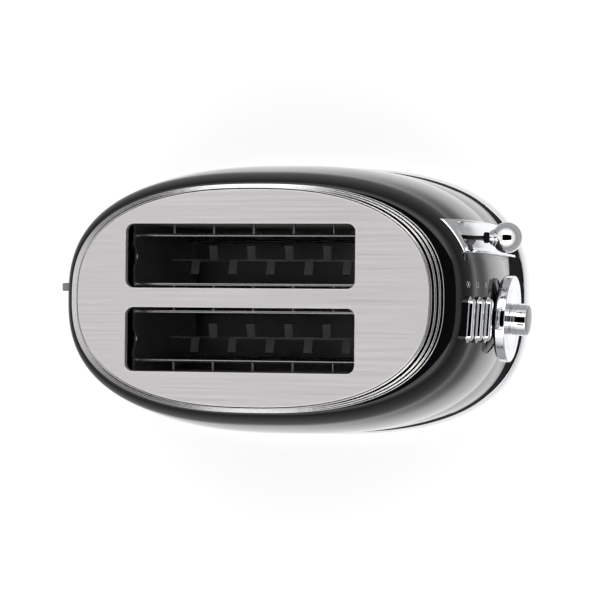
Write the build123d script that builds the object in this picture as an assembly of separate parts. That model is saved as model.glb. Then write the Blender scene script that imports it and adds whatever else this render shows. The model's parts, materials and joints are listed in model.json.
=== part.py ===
from build123d import *
import math
import os

# Oval two-slice toaster. Millimetres, +Z up, +X towards the control end, feet on Z = 0.
# Everything is laid out about the middle of the body and shifted to the origin at export.

# Overall body
total_height = 190.0
oval_points = 36
loft_steps = 4

# Top plate
plate_length = 217.2
plate_width = 131.0
plate_exponent = 2.45
plate_thickness = 1.2
slot_length = 142.0
slot_width = 38.8
slot_spacing = 50.6
slot_offset = -7.2
slot_corner = 4.8
slot_lip_depth = 5.0
slot_lip_wall = 0.8
seat_clearance = 0.15

# Stepped rim round the top plate
rim_length = 231.6
rim_width = 138.4
rim_exponent = 2.5
rim_height = 14.0
rim_steps = 3
rim_lip_round = 0.42
rim_lip = 0.7
rim_ledge = 4.5
rim_round = 0.6

# Shell: three levels of the wall below the rounded shoulder
shell_wall = 3.0
shell_top_length = 232.0
shell_top_width = 138.8
shoulder_depth = 18.0
shoulder_level = 166.0
shoulder_length = 246.0
shoulder_width = 152.8
belly_level = 75.0
belly_length = 265.0
belly_width = 171.6
hem_level = 30.0
hem_length = 271.4
hem_width = 169.6
belly_exponent = 2.55
front_bulge = 23.0
front_bulge_rise = 1.15
front_bulge_fall = 0.36
front_flat = 1.7
front_flat_level = 156.0
front_flat_spread = 12.0
hem_exponent = 2.9

# Base: band, bright ring, pan and feet
band_wall = 3.0
band_inset = 1.0
band_foot_length = 278.4
band_foot_width = 174.6
base_exponent = 2.7
band_tongue = 5.0
band_tongue_gap = 0.6
ring_top = 14.0
ring_bottom = 3.0
ring_length = 285.8
ring_width = 177.8
ring_wall = 7.0
ring_curl = 2.6
pan_bottom = 5.0
pan_thickness = 3.0
pan_wall = 2.5
foot_radius = 9.0
foot_chamfer = 1.2
foot_x = 92.0
foot_y = 48.0
post_x = 98.0
post_y = 62.0
post_radius = 7.0
screw_radius = 2.0
screw_head_radius = 3.8
screw_head_height = 1.6
screw_depth = 17.0
screw_clearance = 0.1

# Oven
oven_rear = -78.5
oven_front = 65.0
oven_top = 169.5
oven_bottom = 27.0
sheet = 1.0
end_plate_width = 118.0
end_leg_width = 8.0
notch_width = 10.0
notch_depth = 3.0
reflector_y = 55.0
reflector_sheet = 0.8
board_sheet = 0.8
board_bottom = 45.0
board_top = 165.0
outer_board_y = 45.6
inner_board_y = 3.8
ribbon_rows = 10
ribbon_height = 1.6
ribbon_sheet = 0.3
ribbon_margin = 9.0

# Bread guides
outer_guide_y = 38.5
inner_guide_y = 8.4
guide_wire = 1.6
guide_rail = 2.0
guide_pitch = 25.1
guide_first = -54.9
guide_count = 5
guide_top = 164.0
guide_bottom = 47.0

# Bread carriers and carriage
carrier_y = 24.6
carrier_sheet = 1.2
carrier_rear = -72.7
carrier_bottom = 100.0
carrier_height = 8.0
carrier_slot_gap = 1.0
tab_width = 5.2
tab_length = 10.0
tab_rise = 4.0
tab_pitch = 24.6
tab_first = -44.5
tab_count = 4
tab_stagger = 12.0
carriage_travel = 55.0
carriage_sheet = 2.0
carriage_rear = 68.0
carriage_front = 92.0
carriage_low_y = -34.0
carriage_high_y = 42.0
rod_x = 80.0
rod_y = 9.0
rod_radius = 2.5
rod_running_gap = 0.05
bushing_wall = 2.0
bushing_height = 14.0
bridge_sheet = 2.0
bridge_level = 167.0
spring_wire = 0.5
spring_gap = 0.5
spring_turns = 12
magnet_length = 14.0
magnet_width = 16.0
magnet_x = 86.0
magnet_y = -22.0
magnet_gap = 0.3
magnet_core_radius = 3.2
magnet_core_proud = 2.0
armature_sheet = 2.0

# Lever, its knob and its bright surround
lever_y = 37.9
lever_level = 148.0
lever_sheet = 2.0
lever_height = 9.0
lever_root_x = 84.0
lever_foot = 8.0
lever_slot_start = 102.0
lever_slot_gap = 1.4
lever_end_gap = 2.0
lever_slot_top = 164.0
neck_start = 134.4
neck_radius = 3.3
neck_seat = 0.8
knob_throat = 3.9
ball_x = 148.4
ball_radius = 9.4
collar_radius = 6.2
collar_length = 4.2
surround_left = 48.6
surround_right = 28.4
surround_top = 167.5
surround_bottom = 46.0
surround_proud = 4.6
surround_floor_proud = 1.3
surround_rim = 2.0
surround_seat_gap = 0.1

# Dial
dial_y = -10.6
dial_level = 102.0
panel_pitch = 2.5
panel_yaw = -3.5
dial_gap = 0.8
dial_back_radius = 25.3
dial_radius = 26.8
dial_cone = 1.5
dial_depth = 7.0
dial_recess = 1.5
dial_hub = 3.0
dial_edge_round = 0.8
grip_radius = 10.0
grip_reach = 10.0
grip_dome = 1.2
grip_groove = 0.5
grip_edge = 0.4
grip_bead_start = 0.3
grip_bead_length = 2.1
cap_radius = 9.3
cap_depth = 3.0
shaft_radius = 3.0
shaft_hole_gap = 0.5
shaft_running_gap = 0.05

# Buttons
button_levels = (168.0, 155.5, 143.0)
button_y = -11.7
bezel_length = 28.0
bezel_height = 9.4
bezel_wall = 1.0
bezel_reach = 1.0
bezel_round = 0.35
bezel_root = 6.0
bezel_seat_gap = 0.1
button_gap = 0.4
button_proud = 2.9
button_round = 1.9
button_body = 5.0
button_travel = 1.5
stem_width = 6.0
stem_height = 3.0
stem_clearance = 0.3

# Control board, behind the end wall
board_setback = 22.0
control_board_sheet = 1.6
control_board_low = -28.0
control_board_high = 70.0
control_board_half_width = 23.0
switch_size = 6.0
switch_height = 4.0
plunger_radius = 1.6
plunger_height = 0.6
pot_size = 16.0
pot_height = 8.0
pot_neck_radius = 4.5
pot_neck_height = 5.0
standoff_radius = 3.0
standoff_inset = 4.0

# Crumb tray and its runners
tray_bottom = 15.0
tray_half_width = 48.0
tray_front = 60.0
tray_sheet = 1.0
tray_wall_height = 5.0
tray_door_top = 25.6
tray_door_sheet = 2.0
tray_door_gap = 0.4
tray_pull_width = 44.0
tray_pull_height = 4.0
tray_pull_reach = 4.0
tray_travel = 150.0
runner_ledge = 5.0
runner_wall = 1.6
runner_height = 5.0
runner_gap = 0.4
runner_rear = -112.0

# Rear pieces
spacer_y = 6.3
spacer_level = 160.0
spacer_width = 5.0
spacer_height = 8.0
spacer_proud = 3.4
spacer_root = 5.0
inlet_y = 0.0
inlet_level = 44.0
inlet_radius = 5.5
inlet_bore = 3.6
inlet_proud = 4.0
inlet_root = 10.0
inlet_flange = 1.8
inlet_flange_sheet = 1.6
inlet_flange_gap = 0.5

fit_gap = 0.1


def front_swell(height):
    """How much further the front end wall stands out than the rear one."""
    share = (height - hem_level) / (shell_top - hem_level)
    share = min(max(share, 0.0), 1.0)
    bulge = front_bulge * share**front_bulge_rise * (1.0 - share) ** front_bulge_fall
    away = (height - front_flat_level) / front_flat_spread
    return bulge - front_flat * math.exp(-away * away)


def through(levels, height):
    """Value at a height of the parabola through three (height, value) pairs."""
    (z0, v0), (z1, v1), (z2, v2) = levels
    first = v0 * (height - z1) * (height - z2) / ((z0 - z1) * (z0 - z2))
    second = v1 * (height - z0) * (height - z2) / ((z1 - z0) * (z1 - z2))
    third = v2 * (height - z0) * (height - z1) / ((z2 - z0) * (z2 - z1))
    return first + second + third


shell_top = total_height - rim_height
length_levels = (
    (shoulder_level, shoulder_length / 2),
    (belly_level, belly_length / 2),
    (hem_level, hem_length / 2),
)
width_levels = (
    (shoulder_level, shoulder_width / 2),
    (belly_level, belly_width / 2),
    (hem_level, hem_width / 2),
)


def shoulder_share(height):
    """How much of the shoulder's pull-in applies at a height, from 0 to 1."""
    rise = (height - (shell_top - shoulder_depth)) / shoulder_depth
    rise = min(max(rise, 0.0), 1.0)
    return 1.0 - math.sqrt(1.0 - rise * rise)


def wall_half_length(height):
    pull_in = through(length_levels, shell_top) - shell_top_length / 2
    return through(length_levels, height) - pull_in * shoulder_share(height)


def wall_half_width(height):
    pull_in = through(width_levels, shell_top) - shell_top_width / 2
    return through(width_levels, height) - pull_in * shoulder_share(height)


def wall_exponent(height):
    if height >= belly_level:
        return belly_exponent
    share = (belly_level - height) / (belly_level - hem_level)
    return belly_exponent + (hem_exponent - belly_exponent) * share


def wall_x(y, height):
    """Outer face of the end wall at a given Y and height."""
    exponent = wall_exponent(height)
    share = 1.0 - (abs(y) / wall_half_width(height)) ** exponent
    return (wall_half_length(height) + front_swell(height)) * share ** (1.0 / exponent)


def oval(half_length, half_width, exponent, height=0.0, swell=0.0):
    """Flat face with a superelliptic outline, its front half longer by a swell."""
    points = []
    for step in range(oval_points):
        angle = 2.0 * math.pi * step / oval_points
        c = math.cos(angle)
        s = math.sin(angle)
        reach = half_length + swell if c > 0 else half_length
        x = math.copysign(reach * abs(c) ** (2.0 / exponent), c)
        y = math.copysign(half_width * abs(s) ** (2.0 / exponent), s)
        points.append((x, y, height))
    return make_face(Spline(*points, periodic=True))


def slab(half_length, half_width, exponent, bottom, top):
    return extrude(oval(half_length, half_width, exponent, bottom), top - bottom)


def block(x0, x1, y0, y1, z0, z1):
    """Box from its corner coordinates."""
    centre = Pos((x0 + x1) / 2, (y0 + y1) / 2, (z0 + z1) / 2)
    return centre * Box(abs(x1 - x0), abs(y1 - y0), abs(z1 - z0))


def rod_z(x, y, radius, bottom, top):
    return Pos(x, y, (bottom + top) / 2) * Cylinder(radius, top - bottom)


def rod_x_way(y, z, radius, start, end):
    return Pos((start + end) / 2, y, z) * Rot(0, 90, 0) * Cylinder(radius, end - start)


def rod_y_way(x, z, radius, start, end):
    return Pos(x, (start + end) / 2, z) * Rot(90, 0, 0) * Cylinder(radius, abs(end - start))


def wall_section(offset, height):
    half_length = wall_half_length(height) + offset
    half_width = wall_half_width(height) + offset
    return oval(half_length, half_width, wall_exponent(height), height, front_swell(height))


def shell_volume(offset):
    """Solid inside the wall's outer face, moved outwards by an offset."""
    shoulder_start = shell_top - shoulder_depth
    wall_levels = []
    shoulder_levels = []
    for step in range(loft_steps + 1):
        share = step / loft_steps
        wall_levels.append(hem_level + (shoulder_start - hem_level) * share)
        shoulder_levels.append(shoulder_start + shoulder_depth * math.sin(math.pi / 2 * share))
    wall = loft([wall_section(offset, height) for height in wall_levels])
    return wall + loft([wall_section(offset, height) for height in shoulder_levels])


# Local frame of the controls: x to the side, y up, z out of the end wall
yaw = math.radians(panel_yaw)
pitch = math.radians(panel_pitch)
panel_axis = (
    math.cos(pitch) * math.cos(yaw),
    math.cos(pitch) * math.sin(yaw),
    math.sin(pitch),
)
panel_side = (-math.sin(yaw), math.cos(yaw), 0.0)
dial_origin = (wall_x(dial_y, dial_level), dial_y, dial_level)
panel = Plane(origin=dial_origin, x_dir=panel_side, z_dir=panel_axis)


def panel_frame(origin):
    return Plane(origin=origin, x_dir=panel_side, z_dir=panel_axis)


def button_frame(index):
    """Frame of one button, on the end wall at the button's middle."""
    level = button_levels[index]
    return panel_frame((wall_x(button_y, level), button_y, level))


def pill(frame, length, height, start, end):
    return extrude(frame.offset(start) * SlotOverall(length, height), end - start)


def disc(frame, radius, start, end):
    return extrude(frame.offset(start) * Circle(radius), end - start)


lever_bottom = lever_level - lever_height / 2
lever_top = lever_level + lever_height / 2
lever_slot = block(
    lever_slot_start,
    ball_x,
    lever_y - lever_sheet / 2 - lever_slot_gap,
    lever_y + lever_sheet / 2 + lever_slot_gap,
    lever_bottom - carriage_travel - lever_end_gap,
    lever_slot_top,
)

door_box = block(
    -ring_length,
    -hem_length / 4,
    -tray_half_width - tray_door_gap,
    tray_half_width + tray_door_gap,
    ring_top - 1.0,
    tray_door_top + tray_door_gap,
)


def make_shell():
    body = shell_volume(0.0) - shell_volume(-shell_wall)
    board_face = -board_setback
    for side in (-1, 1):
        for level in (control_board_low + standoff_inset, control_board_high - standoff_inset):
            place = panel * Pos(side * (control_board_half_width - standoff_inset), level, 0)
            foot = place.position
            reach = (wall_x(foot.Y, foot.Z) - foot.X) - shell_wall / 2
            post = Plane(origin=foot, x_dir=panel_side, z_dir=panel_axis)
            body += disc(post, standoff_radius, board_face, reach)
    body -= lever_slot
    for index in range(len(button_levels)):
        frame = button_frame(index)
        hole_length = bezel_length + 2 * bezel_seat_gap
        hole_height = bezel_height + 2 * bezel_seat_gap
        body -= pill(frame, hole_length, hole_height, -bezel_root - 2.0, bezel_reach + button_proud)
    body -= disc(panel, shaft_radius + shaft_hole_gap, -shell_wall * 3, shell_wall * 2)
    rear = -wall_half_length(spacer_level)
    body -= block(
        rear - spacer_proud,
        rear + spacer_root + 2.0,
        spacer_y - spacer_width / 2 - fit_gap,
        spacer_y + spacer_width / 2 + fit_gap,
        spacer_level - spacer_height / 2 - fit_gap,
        spacer_level + spacer_height / 2 + fit_gap,
    )
    body -= rod_x_way(
        inlet_y, inlet_level, inlet_radius + fit_gap, -ring_length / 2, -hem_length / 2 + inlet_root
    )
    return body


def make_top_rim():
    seat_half_length = plate_length / 2 + seat_clearance
    seat_half_width = plate_width / 2 + seat_clearance
    crown_half_length = seat_half_length + rim_lip
    crown_half_width = seat_half_width + rim_lip
    length_step = (rim_length / 2 - crown_half_length) / rim_steps
    width_step = (rim_width / 2 - crown_half_width) / rim_steps
    step_height = rim_height / (rim_steps + 1)
    rim = None
    for index in range(rim_steps + 1):
        bottom = shell_top + step_height * index
        share = rim_steps - index
        layer = slab(
            crown_half_length + length_step * share,
            crown_half_width + width_step * share,
            rim_exponent if share else plate_exponent,
            shell_top,
            bottom + step_height,
        )
        edge = layer.edges().group_by(Axis.Z)[-1]
        layer = fillet(edge, rim_round if share else rim_lip_round)
        rim = layer if rim is None else rim + layer
    plate_seat = total_height - plate_thickness
    rim -= slab(seat_half_length, seat_half_width, plate_exponent, plate_seat, total_height + 1.0)
    rim -= slab(
        seat_half_length - rim_ledge,
        seat_half_width - rim_ledge,
        plate_exponent,
        shell_top - 1.0,
        total_height,
    )
    return rim


def slot_centres():
    return ((slot_offset, slot_spacing / 2), (slot_offset, -slot_spacing / 2))


def make_top_plate():
    top = total_height
    plate = slab(plate_length / 2, plate_width / 2, plate_exponent, top - plate_thickness, top)
    lip_bottom = top - slot_lip_depth
    for x, y in slot_centres():
        outside = Pos(x, y, lip_bottom) * RectangleRounded(
            slot_length + 2 * slot_lip_wall, slot_width + 2 * slot_lip_wall, slot_corner + slot_lip_wall
        )
        plate += extrude(outside, slot_lip_depth)
    for x, y in slot_centres():
        inside = Pos(x, y, lip_bottom - 1.0) * RectangleRounded(slot_length, slot_width, slot_corner)
        plate -= extrude(inside, slot_lip_depth + 2.0)
    return fillet(plate.edges().group_by(Axis.Z)[-1], slot_lip_wall * 0.6)


def band_half_sizes(height):
    """Outer half length and half width of the band at a height."""
    share = (hem_level - height) / (hem_level - ring_top)
    top_length = hem_length / 2 - band_inset
    top_width = hem_width / 2 - band_inset / 2
    return (
        top_length + (band_foot_length / 2 - top_length) * share,
        top_width + (band_foot_width / 2 - top_width) * share,
    )


def band_volume(offset, top):
    """Solid inside the band's outer face up to a height, moved outwards by an offset."""
    faces = []
    for height in (ring_top, top):
        half_length, half_width = band_half_sizes(height)
        share = (height - ring_top) / (hem_level - ring_top)
        exponent = base_exponent + (hem_exponent - base_exponent) * share
        faces.append(oval(half_length + offset, half_width + offset, exponent, height))
    return loft(faces)


def tongue_slab(offset, bottom, top):
    """Slab inside the tongue that the shell drops over."""
    inset = shell_wall + band_tongue_gap + offset
    return slab(hem_length / 2 - inset, hem_width / 2 - inset, hem_exponent, bottom, top)


def make_skirt_band():
    shelf = hem_level - band_wall
    tongue_top = hem_level + band_tongue
    band = band_volume(0.0, hem_level) + tongue_slab(0.0, shelf, tongue_top)
    cavity = band_volume(-band_wall, shelf) + tongue_slab(band_wall, shelf - 1.0, tongue_top + 1.0)
    for x, y in screw_places():
        cavity -= rod_z(x, y, post_radius, ring_top - 1.0, tongue_top)
    band -= cavity
    for x, y in screw_places():
        band -= rod_z(x, y, screw_radius + screw_clearance, 0.0, pan_bottom + screw_depth + 1.0)
        band -= rod_z(x, y, post_radius + 1.0, shelf - 1.0, tongue_top + 1.0)
    return band - door_box


def make_base_ring():
    middle = (ring_top + ring_bottom) / 2
    half_length = ring_length / 2
    half_width = ring_width / 2
    faces = []
    profile = (
        (ring_bottom, 0.5),
        (ring_bottom + 2.5, 0.05),
        (middle, 0.0),
        (ring_top - 2.5, 0.45),
        (ring_top, 1.15),
    )
    for height, share in profile:
        faces.append(
            oval(half_length - ring_curl * share, half_width - ring_curl * share * 0.5, base_exponent, height)
        )
    ring = loft(faces)
    ring -= slab(
        half_length - ring_wall, half_width - ring_wall * 0.7, base_exponent, ring_bottom - 1.0, ring_top + 1.0
    )
    return ring


def screw_places():
    return [(x, y) for x in (-post_x, post_x) for y in (-post_y, post_y)]


def make_base_pan():
    half_length = ring_length / 2 - ring_wall - fit_gap
    half_width = ring_width / 2 - ring_wall * 0.7 - fit_gap
    floor_top = pan_bottom + pan_thickness
    pan = slab(half_length, half_width, base_exponent, pan_bottom, ring_top)
    pan -= slab(half_length - pan_wall, half_width - pan_wall, base_exponent, floor_top, ring_top + 1.0)
    for x, y in screw_places():
        pan += rod_z(x, y, post_radius, pan_bottom, ring_top) & slab(
            half_length, half_width, base_exponent, pan_bottom, ring_top
        )
    for x, y in screw_places():
        pan -= rod_z(x, y, screw_radius + screw_clearance, pan_bottom - 1.0, ring_top + 1.0)
    return pan


def make_base_screws():
    screws = []
    for x, y in screw_places():
        head = rod_z(x, y, screw_head_radius, pan_bottom - screw_head_height, pan_bottom)
        screws.append(head + rod_z(x, y, screw_radius, pan_bottom - 0.5, pan_bottom + screw_depth))
    return screws


def make_feet():
    feet = []
    for x in (-foot_x, foot_x):
        for y in (-foot_y, foot_y):
            foot = rod_z(x, y, foot_radius, 0.0, pan_bottom)
            feet.append(chamfer(foot.edges().group_by(Axis.Z)[0], foot_chamfer))
    return feet


carrier_top = carrier_bottom + carrier_height
carrier_slot_half = carrier_sheet / 2 + carrier_slot_gap


def make_end_plate(start, with_slots):
    """Upright sheet across the oven, on two legs outside the crumb tray."""
    half = end_plate_width / 2
    floor_top = pan_bottom + pan_thickness
    plate = block(start, start + sheet, -half, half, oven_bottom, oven_top)
    for side in (-1, 1):
        plate += block(
            start, start + sheet, side * half, side * (half - end_leg_width), floor_top, oven_bottom + 1.0
        )
        middle = side * slot_spacing / 2
        plate -= block(
            start - 1.0,
            start + sheet + 1.0,
            middle - notch_width / 2,
            middle + notch_width / 2,
            oven_top - notch_depth,
            oven_top + 1.0,
        )
        if with_slots:
            plate -= block(
                start - 1.0,
                start + sheet + 1.0,
                side * carrier_y - carrier_slot_half,
                side * carrier_y + carrier_slot_half,
                carrier_bottom - carriage_travel - carrier_slot_gap,
                carrier_top + carrier_slot_gap,
            )
    return plate


def both_sides(y0, y1, z0, z1):
    """Pair of sheets between the end plates, mirrored in Y."""
    pair = []
    for side in (-1, 1):
        pair.append(block(oven_rear, oven_front, side * y0, side * y1, z0, z1))
    return pair


def make_heater_ribbons():
    ribbons = []
    pitch_z = (board_top - board_bottom - 2 * ribbon_margin) / (ribbon_rows - 1)
    faces = (
        (outer_board_y - ribbon_sheet, outer_board_y),
        (inner_board_y + board_sheet, inner_board_y + board_sheet + ribbon_sheet),
    )
    for side in (-1, 1):
        for near, far in faces:
            for row in range(ribbon_rows):
                middle = board_bottom + ribbon_margin + pitch_z * row
                ribbons.append(
                    block(
                        oven_rear + ribbon_margin,
                        oven_front - ribbon_margin,
                        side * near,
                        side * far,
                        middle - ribbon_height / 2,
                        middle + ribbon_height / 2,
                    )
                )
    return ribbons


def make_guide(y, hook_end):
    """Rack of upright wires between two rails, hooked over towards the heater board."""
    guide = rod_x_way(y, guide_top, guide_rail / 2, oven_rear, oven_front)
    guide += rod_x_way(y, guide_bottom, guide_rail / 2, oven_rear, oven_front)
    for index in range(guide_count):
        x = guide_first + guide_pitch * index
        guide += rod_z(x, y, guide_wire / 2, guide_bottom, guide_top)
        low, high = sorted((y, hook_end))
        guide += rod_y_way(x, guide_top, guide_wire / 2, low, high)
    return guide


def make_guides(side):
    outer_end = side * (outer_board_y - ribbon_sheet)
    inner_end = side * (inner_board_y + board_sheet + ribbon_sheet)
    return [
        make_guide(side * outer_guide_y, outer_end),
        make_guide(side * inner_guide_y, inner_end),
    ]


def make_bread_carrier(side):
    """Upright blade with tabs bent out to left and right in turn."""
    y = side * carrier_y
    half = carrier_sheet / 2
    carrier = block(carrier_rear, carriage_front, y - half, y + half, carrier_bottom, carrier_top)
    tilt = math.degrees(math.atan2(tab_rise, tab_length))
    for way, first, count in ((1, tab_first, tab_count), (-1, tab_first - tab_stagger, tab_count + 1)):
        for index in range(count):
            x = first + tab_pitch * index
            tab = Pos(0, way * tab_length / 2, 0) * Box(tab_width, tab_length, carrier_sheet)
            carrier += Pos(x, y, carrier_top - carrier_sheet / 2) * Rot(way * tilt, 0, 0) * tab
    return carrier


def rod_places():
    return ((rod_x, -rod_y), (rod_x, rod_y))


bushing_radius = rod_radius + rod_running_gap + bushing_wall
carriage_top = carrier_bottom
carriage_bottom = carriage_top - carriage_sheet
bushing_bottom = carriage_bottom - (bushing_height - carriage_sheet) / 2


def make_carriage_plate():
    plate = block(
        carriage_rear, carriage_front, carriage_low_y, carriage_high_y, carriage_bottom, carriage_top
    )
    for x, y in rod_places():
        plate -= rod_z(x, y, bushing_radius, carriage_bottom - 1.0, carriage_top + 1.0)
    return plate


def make_carriage_bushings():
    bushings = []
    for x, y in rod_places():
        bushing = rod_z(x, y, bushing_radius, bushing_bottom, bushing_bottom + bushing_height)
        bushings.append(bushing - rod_z(x, y, rod_radius + rod_running_gap, 0.0, bridge_level))
    return bushings


def make_guide_rods():
    floor_top = pan_bottom + pan_thickness
    return [rod_z(x, y, rod_radius, floor_top, bridge_level - bridge_sheet) for x, y in rod_places()]


def make_rod_bridge():
    front = rod_x + rod_radius + bushing_wall
    half = rod_y + rod_radius + bushing_wall
    bridge = block(oven_front + sheet, front, -half, half, bridge_level - bridge_sheet, bridge_level)
    bridge += block(
        oven_front + sheet,
        oven_front + 2 * sheet,
        -half,
        half,
        bridge_level - 8 * bridge_sheet,
        bridge_level,
    )
    return bridge


def make_return_spring():
    floor_top = pan_bottom + pan_thickness
    bottom = floor_top + spring_wire
    height = bushing_bottom - spring_wire - bottom
    radius = rod_radius + spring_gap + spring_wire
    path = Helix(pitch=height / spring_turns, height=height, radius=radius)
    start = Plane(origin=path @ 0, z_dir=path % 0)
    coil = sweep(start * Circle(spring_wire), path=path, is_frenet=True)
    return Pos(rod_x, rod_y, bottom) * coil


magnet_top = carriage_bottom - armature_sheet - carriage_travel - magnet_gap


def make_latch_magnet():
    floor_top = pan_bottom + pan_thickness
    foot = block(
        magnet_x - magnet_length / 2,
        magnet_x + magnet_length / 2,
        magnet_y - magnet_width / 2,
        magnet_y + magnet_width / 2,
        floor_top,
        floor_top + carriage_sheet,
    )
    core = rod_z(magnet_x, magnet_y, magnet_core_radius, floor_top, magnet_top)
    coil_top = magnet_top - magnet_core_proud
    coil = rod_z(magnet_x, magnet_y, magnet_length / 2, floor_top + carriage_sheet, coil_top)
    return foot + core + coil


def make_latch_armature():
    return block(
        magnet_x - magnet_length / 2,
        carriage_front,
        magnet_y - magnet_width / 2,
        magnet_y + magnet_width / 2,
        carriage_bottom - armature_sheet,
        carriage_bottom,
    )


def make_lever_arm():
    half = lever_sheet / 2
    arm = block(
        lever_root_x, lever_root_x + lever_foot, lever_y - half, lever_y + half, carriage_top, lever_top
    )
    arm += block(lever_root_x, neck_start, lever_y - half, lever_y + half, lever_bottom, lever_top)
    return arm


def make_lever_neck():
    end = ball_x - ball_radius
    neck = rod_x_way(lever_y, lever_level, neck_radius, neck_start, end - neck_seat)
    return neck


def make_lever_knob():
    back = ball_x - ball_radius - neck_seat
    ball = Pos(ball_x, lever_y, lever_level) * Sphere(ball_radius)
    cone = Pos(back + collar_length / 2, lever_y, lever_level) * Rot(0, 90, 0) * Cone(
        knob_throat, collar_radius, collar_length
    )
    return ball + cone


def make_lever_surround():
    """Bright trough that the lever's slot runs down, seated on the curved wall."""
    strip = block(
        lever_slot_start, ball_x, surround_right, surround_left, surround_bottom, surround_top
    )
    channel = block(
        lever_slot_start,
        ball_x,
        surround_right + surround_rim,
        surround_left - surround_rim,
        surround_bottom - 1.0,
        surround_top - surround_rim,
    )
    trough = shell_volume(surround_proud) & strip
    trough -= channel - shell_volume(surround_floor_proud)
    trough -= shell_volume(surround_seat_gap)
    return trough - lever_slot


dial_front = dial_gap + dial_depth
dial_root = dial_front - dial_recess
grip_end = dial_front + grip_reach


def make_dial_flange():
    back = dial_gap
    profile = Polyline(
        (0, back),
        (dial_back_radius, back),
        (dial_radius, back + dial_cone),
        (dial_radius, dial_front - dial_edge_round),
        (dial_radius - dial_edge_round, dial_front),
        (grip_radius + fit_gap, dial_front),
        (grip_radius + fit_gap, dial_root),
        (0, dial_root),
        close=True,
    )
    flange = revolve(Plane.XZ * make_face(profile), Axis.Z)
    flange = panel * flange
    flange -= disc(panel, shaft_radius + fit_gap, 0.0, dial_root - dial_hub)
    return flange


def make_dial_grip():
    bead_start = dial_front + grip_bead_start
    bead_end = bead_start + grip_bead_length
    grip = disc(panel, grip_radius, dial_root, grip_end - grip_edge)
    for middle in (bead_start, bead_end):
        groove = disc(panel, grip_radius + 1.0, middle - grip_groove / 2, middle + grip_groove / 2)
        groove -= disc(panel, grip_radius - grip_groove, middle - grip_groove, middle + grip_groove)
        grip -= groove
    grip -= disc(panel, cap_radius + fit_gap, grip_end - cap_depth, grip_end)
    return grip


def make_dial_cap():
    dome_radius = (cap_radius**2 + grip_dome**2) / (2 * grip_dome)
    cap = disc(panel, cap_radius, grip_end - cap_depth, grip_end + grip_dome)
    return cap & (panel.offset(grip_end + grip_dome - dome_radius) * Sphere(dome_radius))


def make_dial_shaft():
    return disc(panel, shaft_radius, -board_setback + pot_height / 2, dial_root - dial_hub)


def make_button(index):
    frame = button_frame(index)
    front = bezel_reach + button_proud
    length = bezel_length - 2 * (bezel_wall + button_gap)
    height = bezel_height - 2 * (bezel_wall + button_gap)
    cap = pill(frame, length, height, front - button_proud - button_body, front)
    crown = cap.faces().sort_by(Axis((0, 0, 0), frame.z_dir))[-1]
    cap = fillet(crown.edges(), button_round)
    board_front = board_front_below(index)
    stem_end = board_front + switch_height + plunger_height + button_travel + stem_clearance
    stem_top = front - button_proud - button_body
    stem = extrude(frame.offset(stem_end) * Rectangle(stem_width, stem_height), stem_top - stem_end)
    return cap + stem


def board_front_below(index):
    """Height of the board's front face in a button's own frame."""
    frame = button_frame(index)
    gap = Vector(*dial_origin) - frame.origin
    return gap.dot(Vector(*panel_axis)) - board_setback


def make_button_bezels():
    bezels = []
    for index in range(len(button_levels)):
        frame = button_frame(index)
        front = bezel_reach
        inner_length = bezel_length - 2 * bezel_wall
        inner_height = bezel_height - 2 * bezel_wall
        ring = pill(frame, bezel_length, bezel_height, -bezel_root, front)
        ring -= pill(frame, inner_length, inner_height, -bezel_root - 1.0, front + 1.0)
        lip = ring.faces().sort_by(Axis((0, 0, 0), frame.z_dir))[-1]
        bezels.append(fillet(lip.edges(), bezel_round))
    return bezels


def make_button_switches():
    switches = []
    for index in range(len(button_levels)):
        frame = button_frame(index).offset(board_front_below(index))
        body = extrude(frame * Rectangle(switch_size, switch_size), switch_height)
        switches.append(body + disc(frame, plunger_radius, 0.0, switch_height + plunger_height))
    return switches


def make_control_board():
    middle = (control_board_low + control_board_high) / 2
    outline = Pos(0, middle) * Rectangle(
        2 * control_board_half_width, control_board_high - control_board_low
    )
    return extrude(panel.offset(-board_setback - control_board_sheet) * outline, control_board_sheet)


def make_dial_control():
    start = -board_setback
    body = extrude(panel.offset(start) * Rectangle(pot_size, pot_size), pot_height)
    body += disc(panel, pot_neck_radius, start, start + pot_height + pot_neck_height)
    body -= disc(panel, shaft_radius + shaft_running_gap, start + pot_height / 2 - 0.5, 0.0)
    return body


def make_crumb_tray():
    rear = -ring_length / 2 + 2 * ring_wall
    top = tray_bottom + tray_wall_height
    tray = block(rear, tray_front, -tray_half_width, tray_half_width, tray_bottom, top)
    tray -= block(
        rear + tray_sheet,
        tray_front - tray_sheet,
        -tray_half_width + tray_sheet,
        tray_half_width - tray_sheet,
        tray_bottom + tray_sheet,
        top + 1.0,
    )
    return tray


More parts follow.
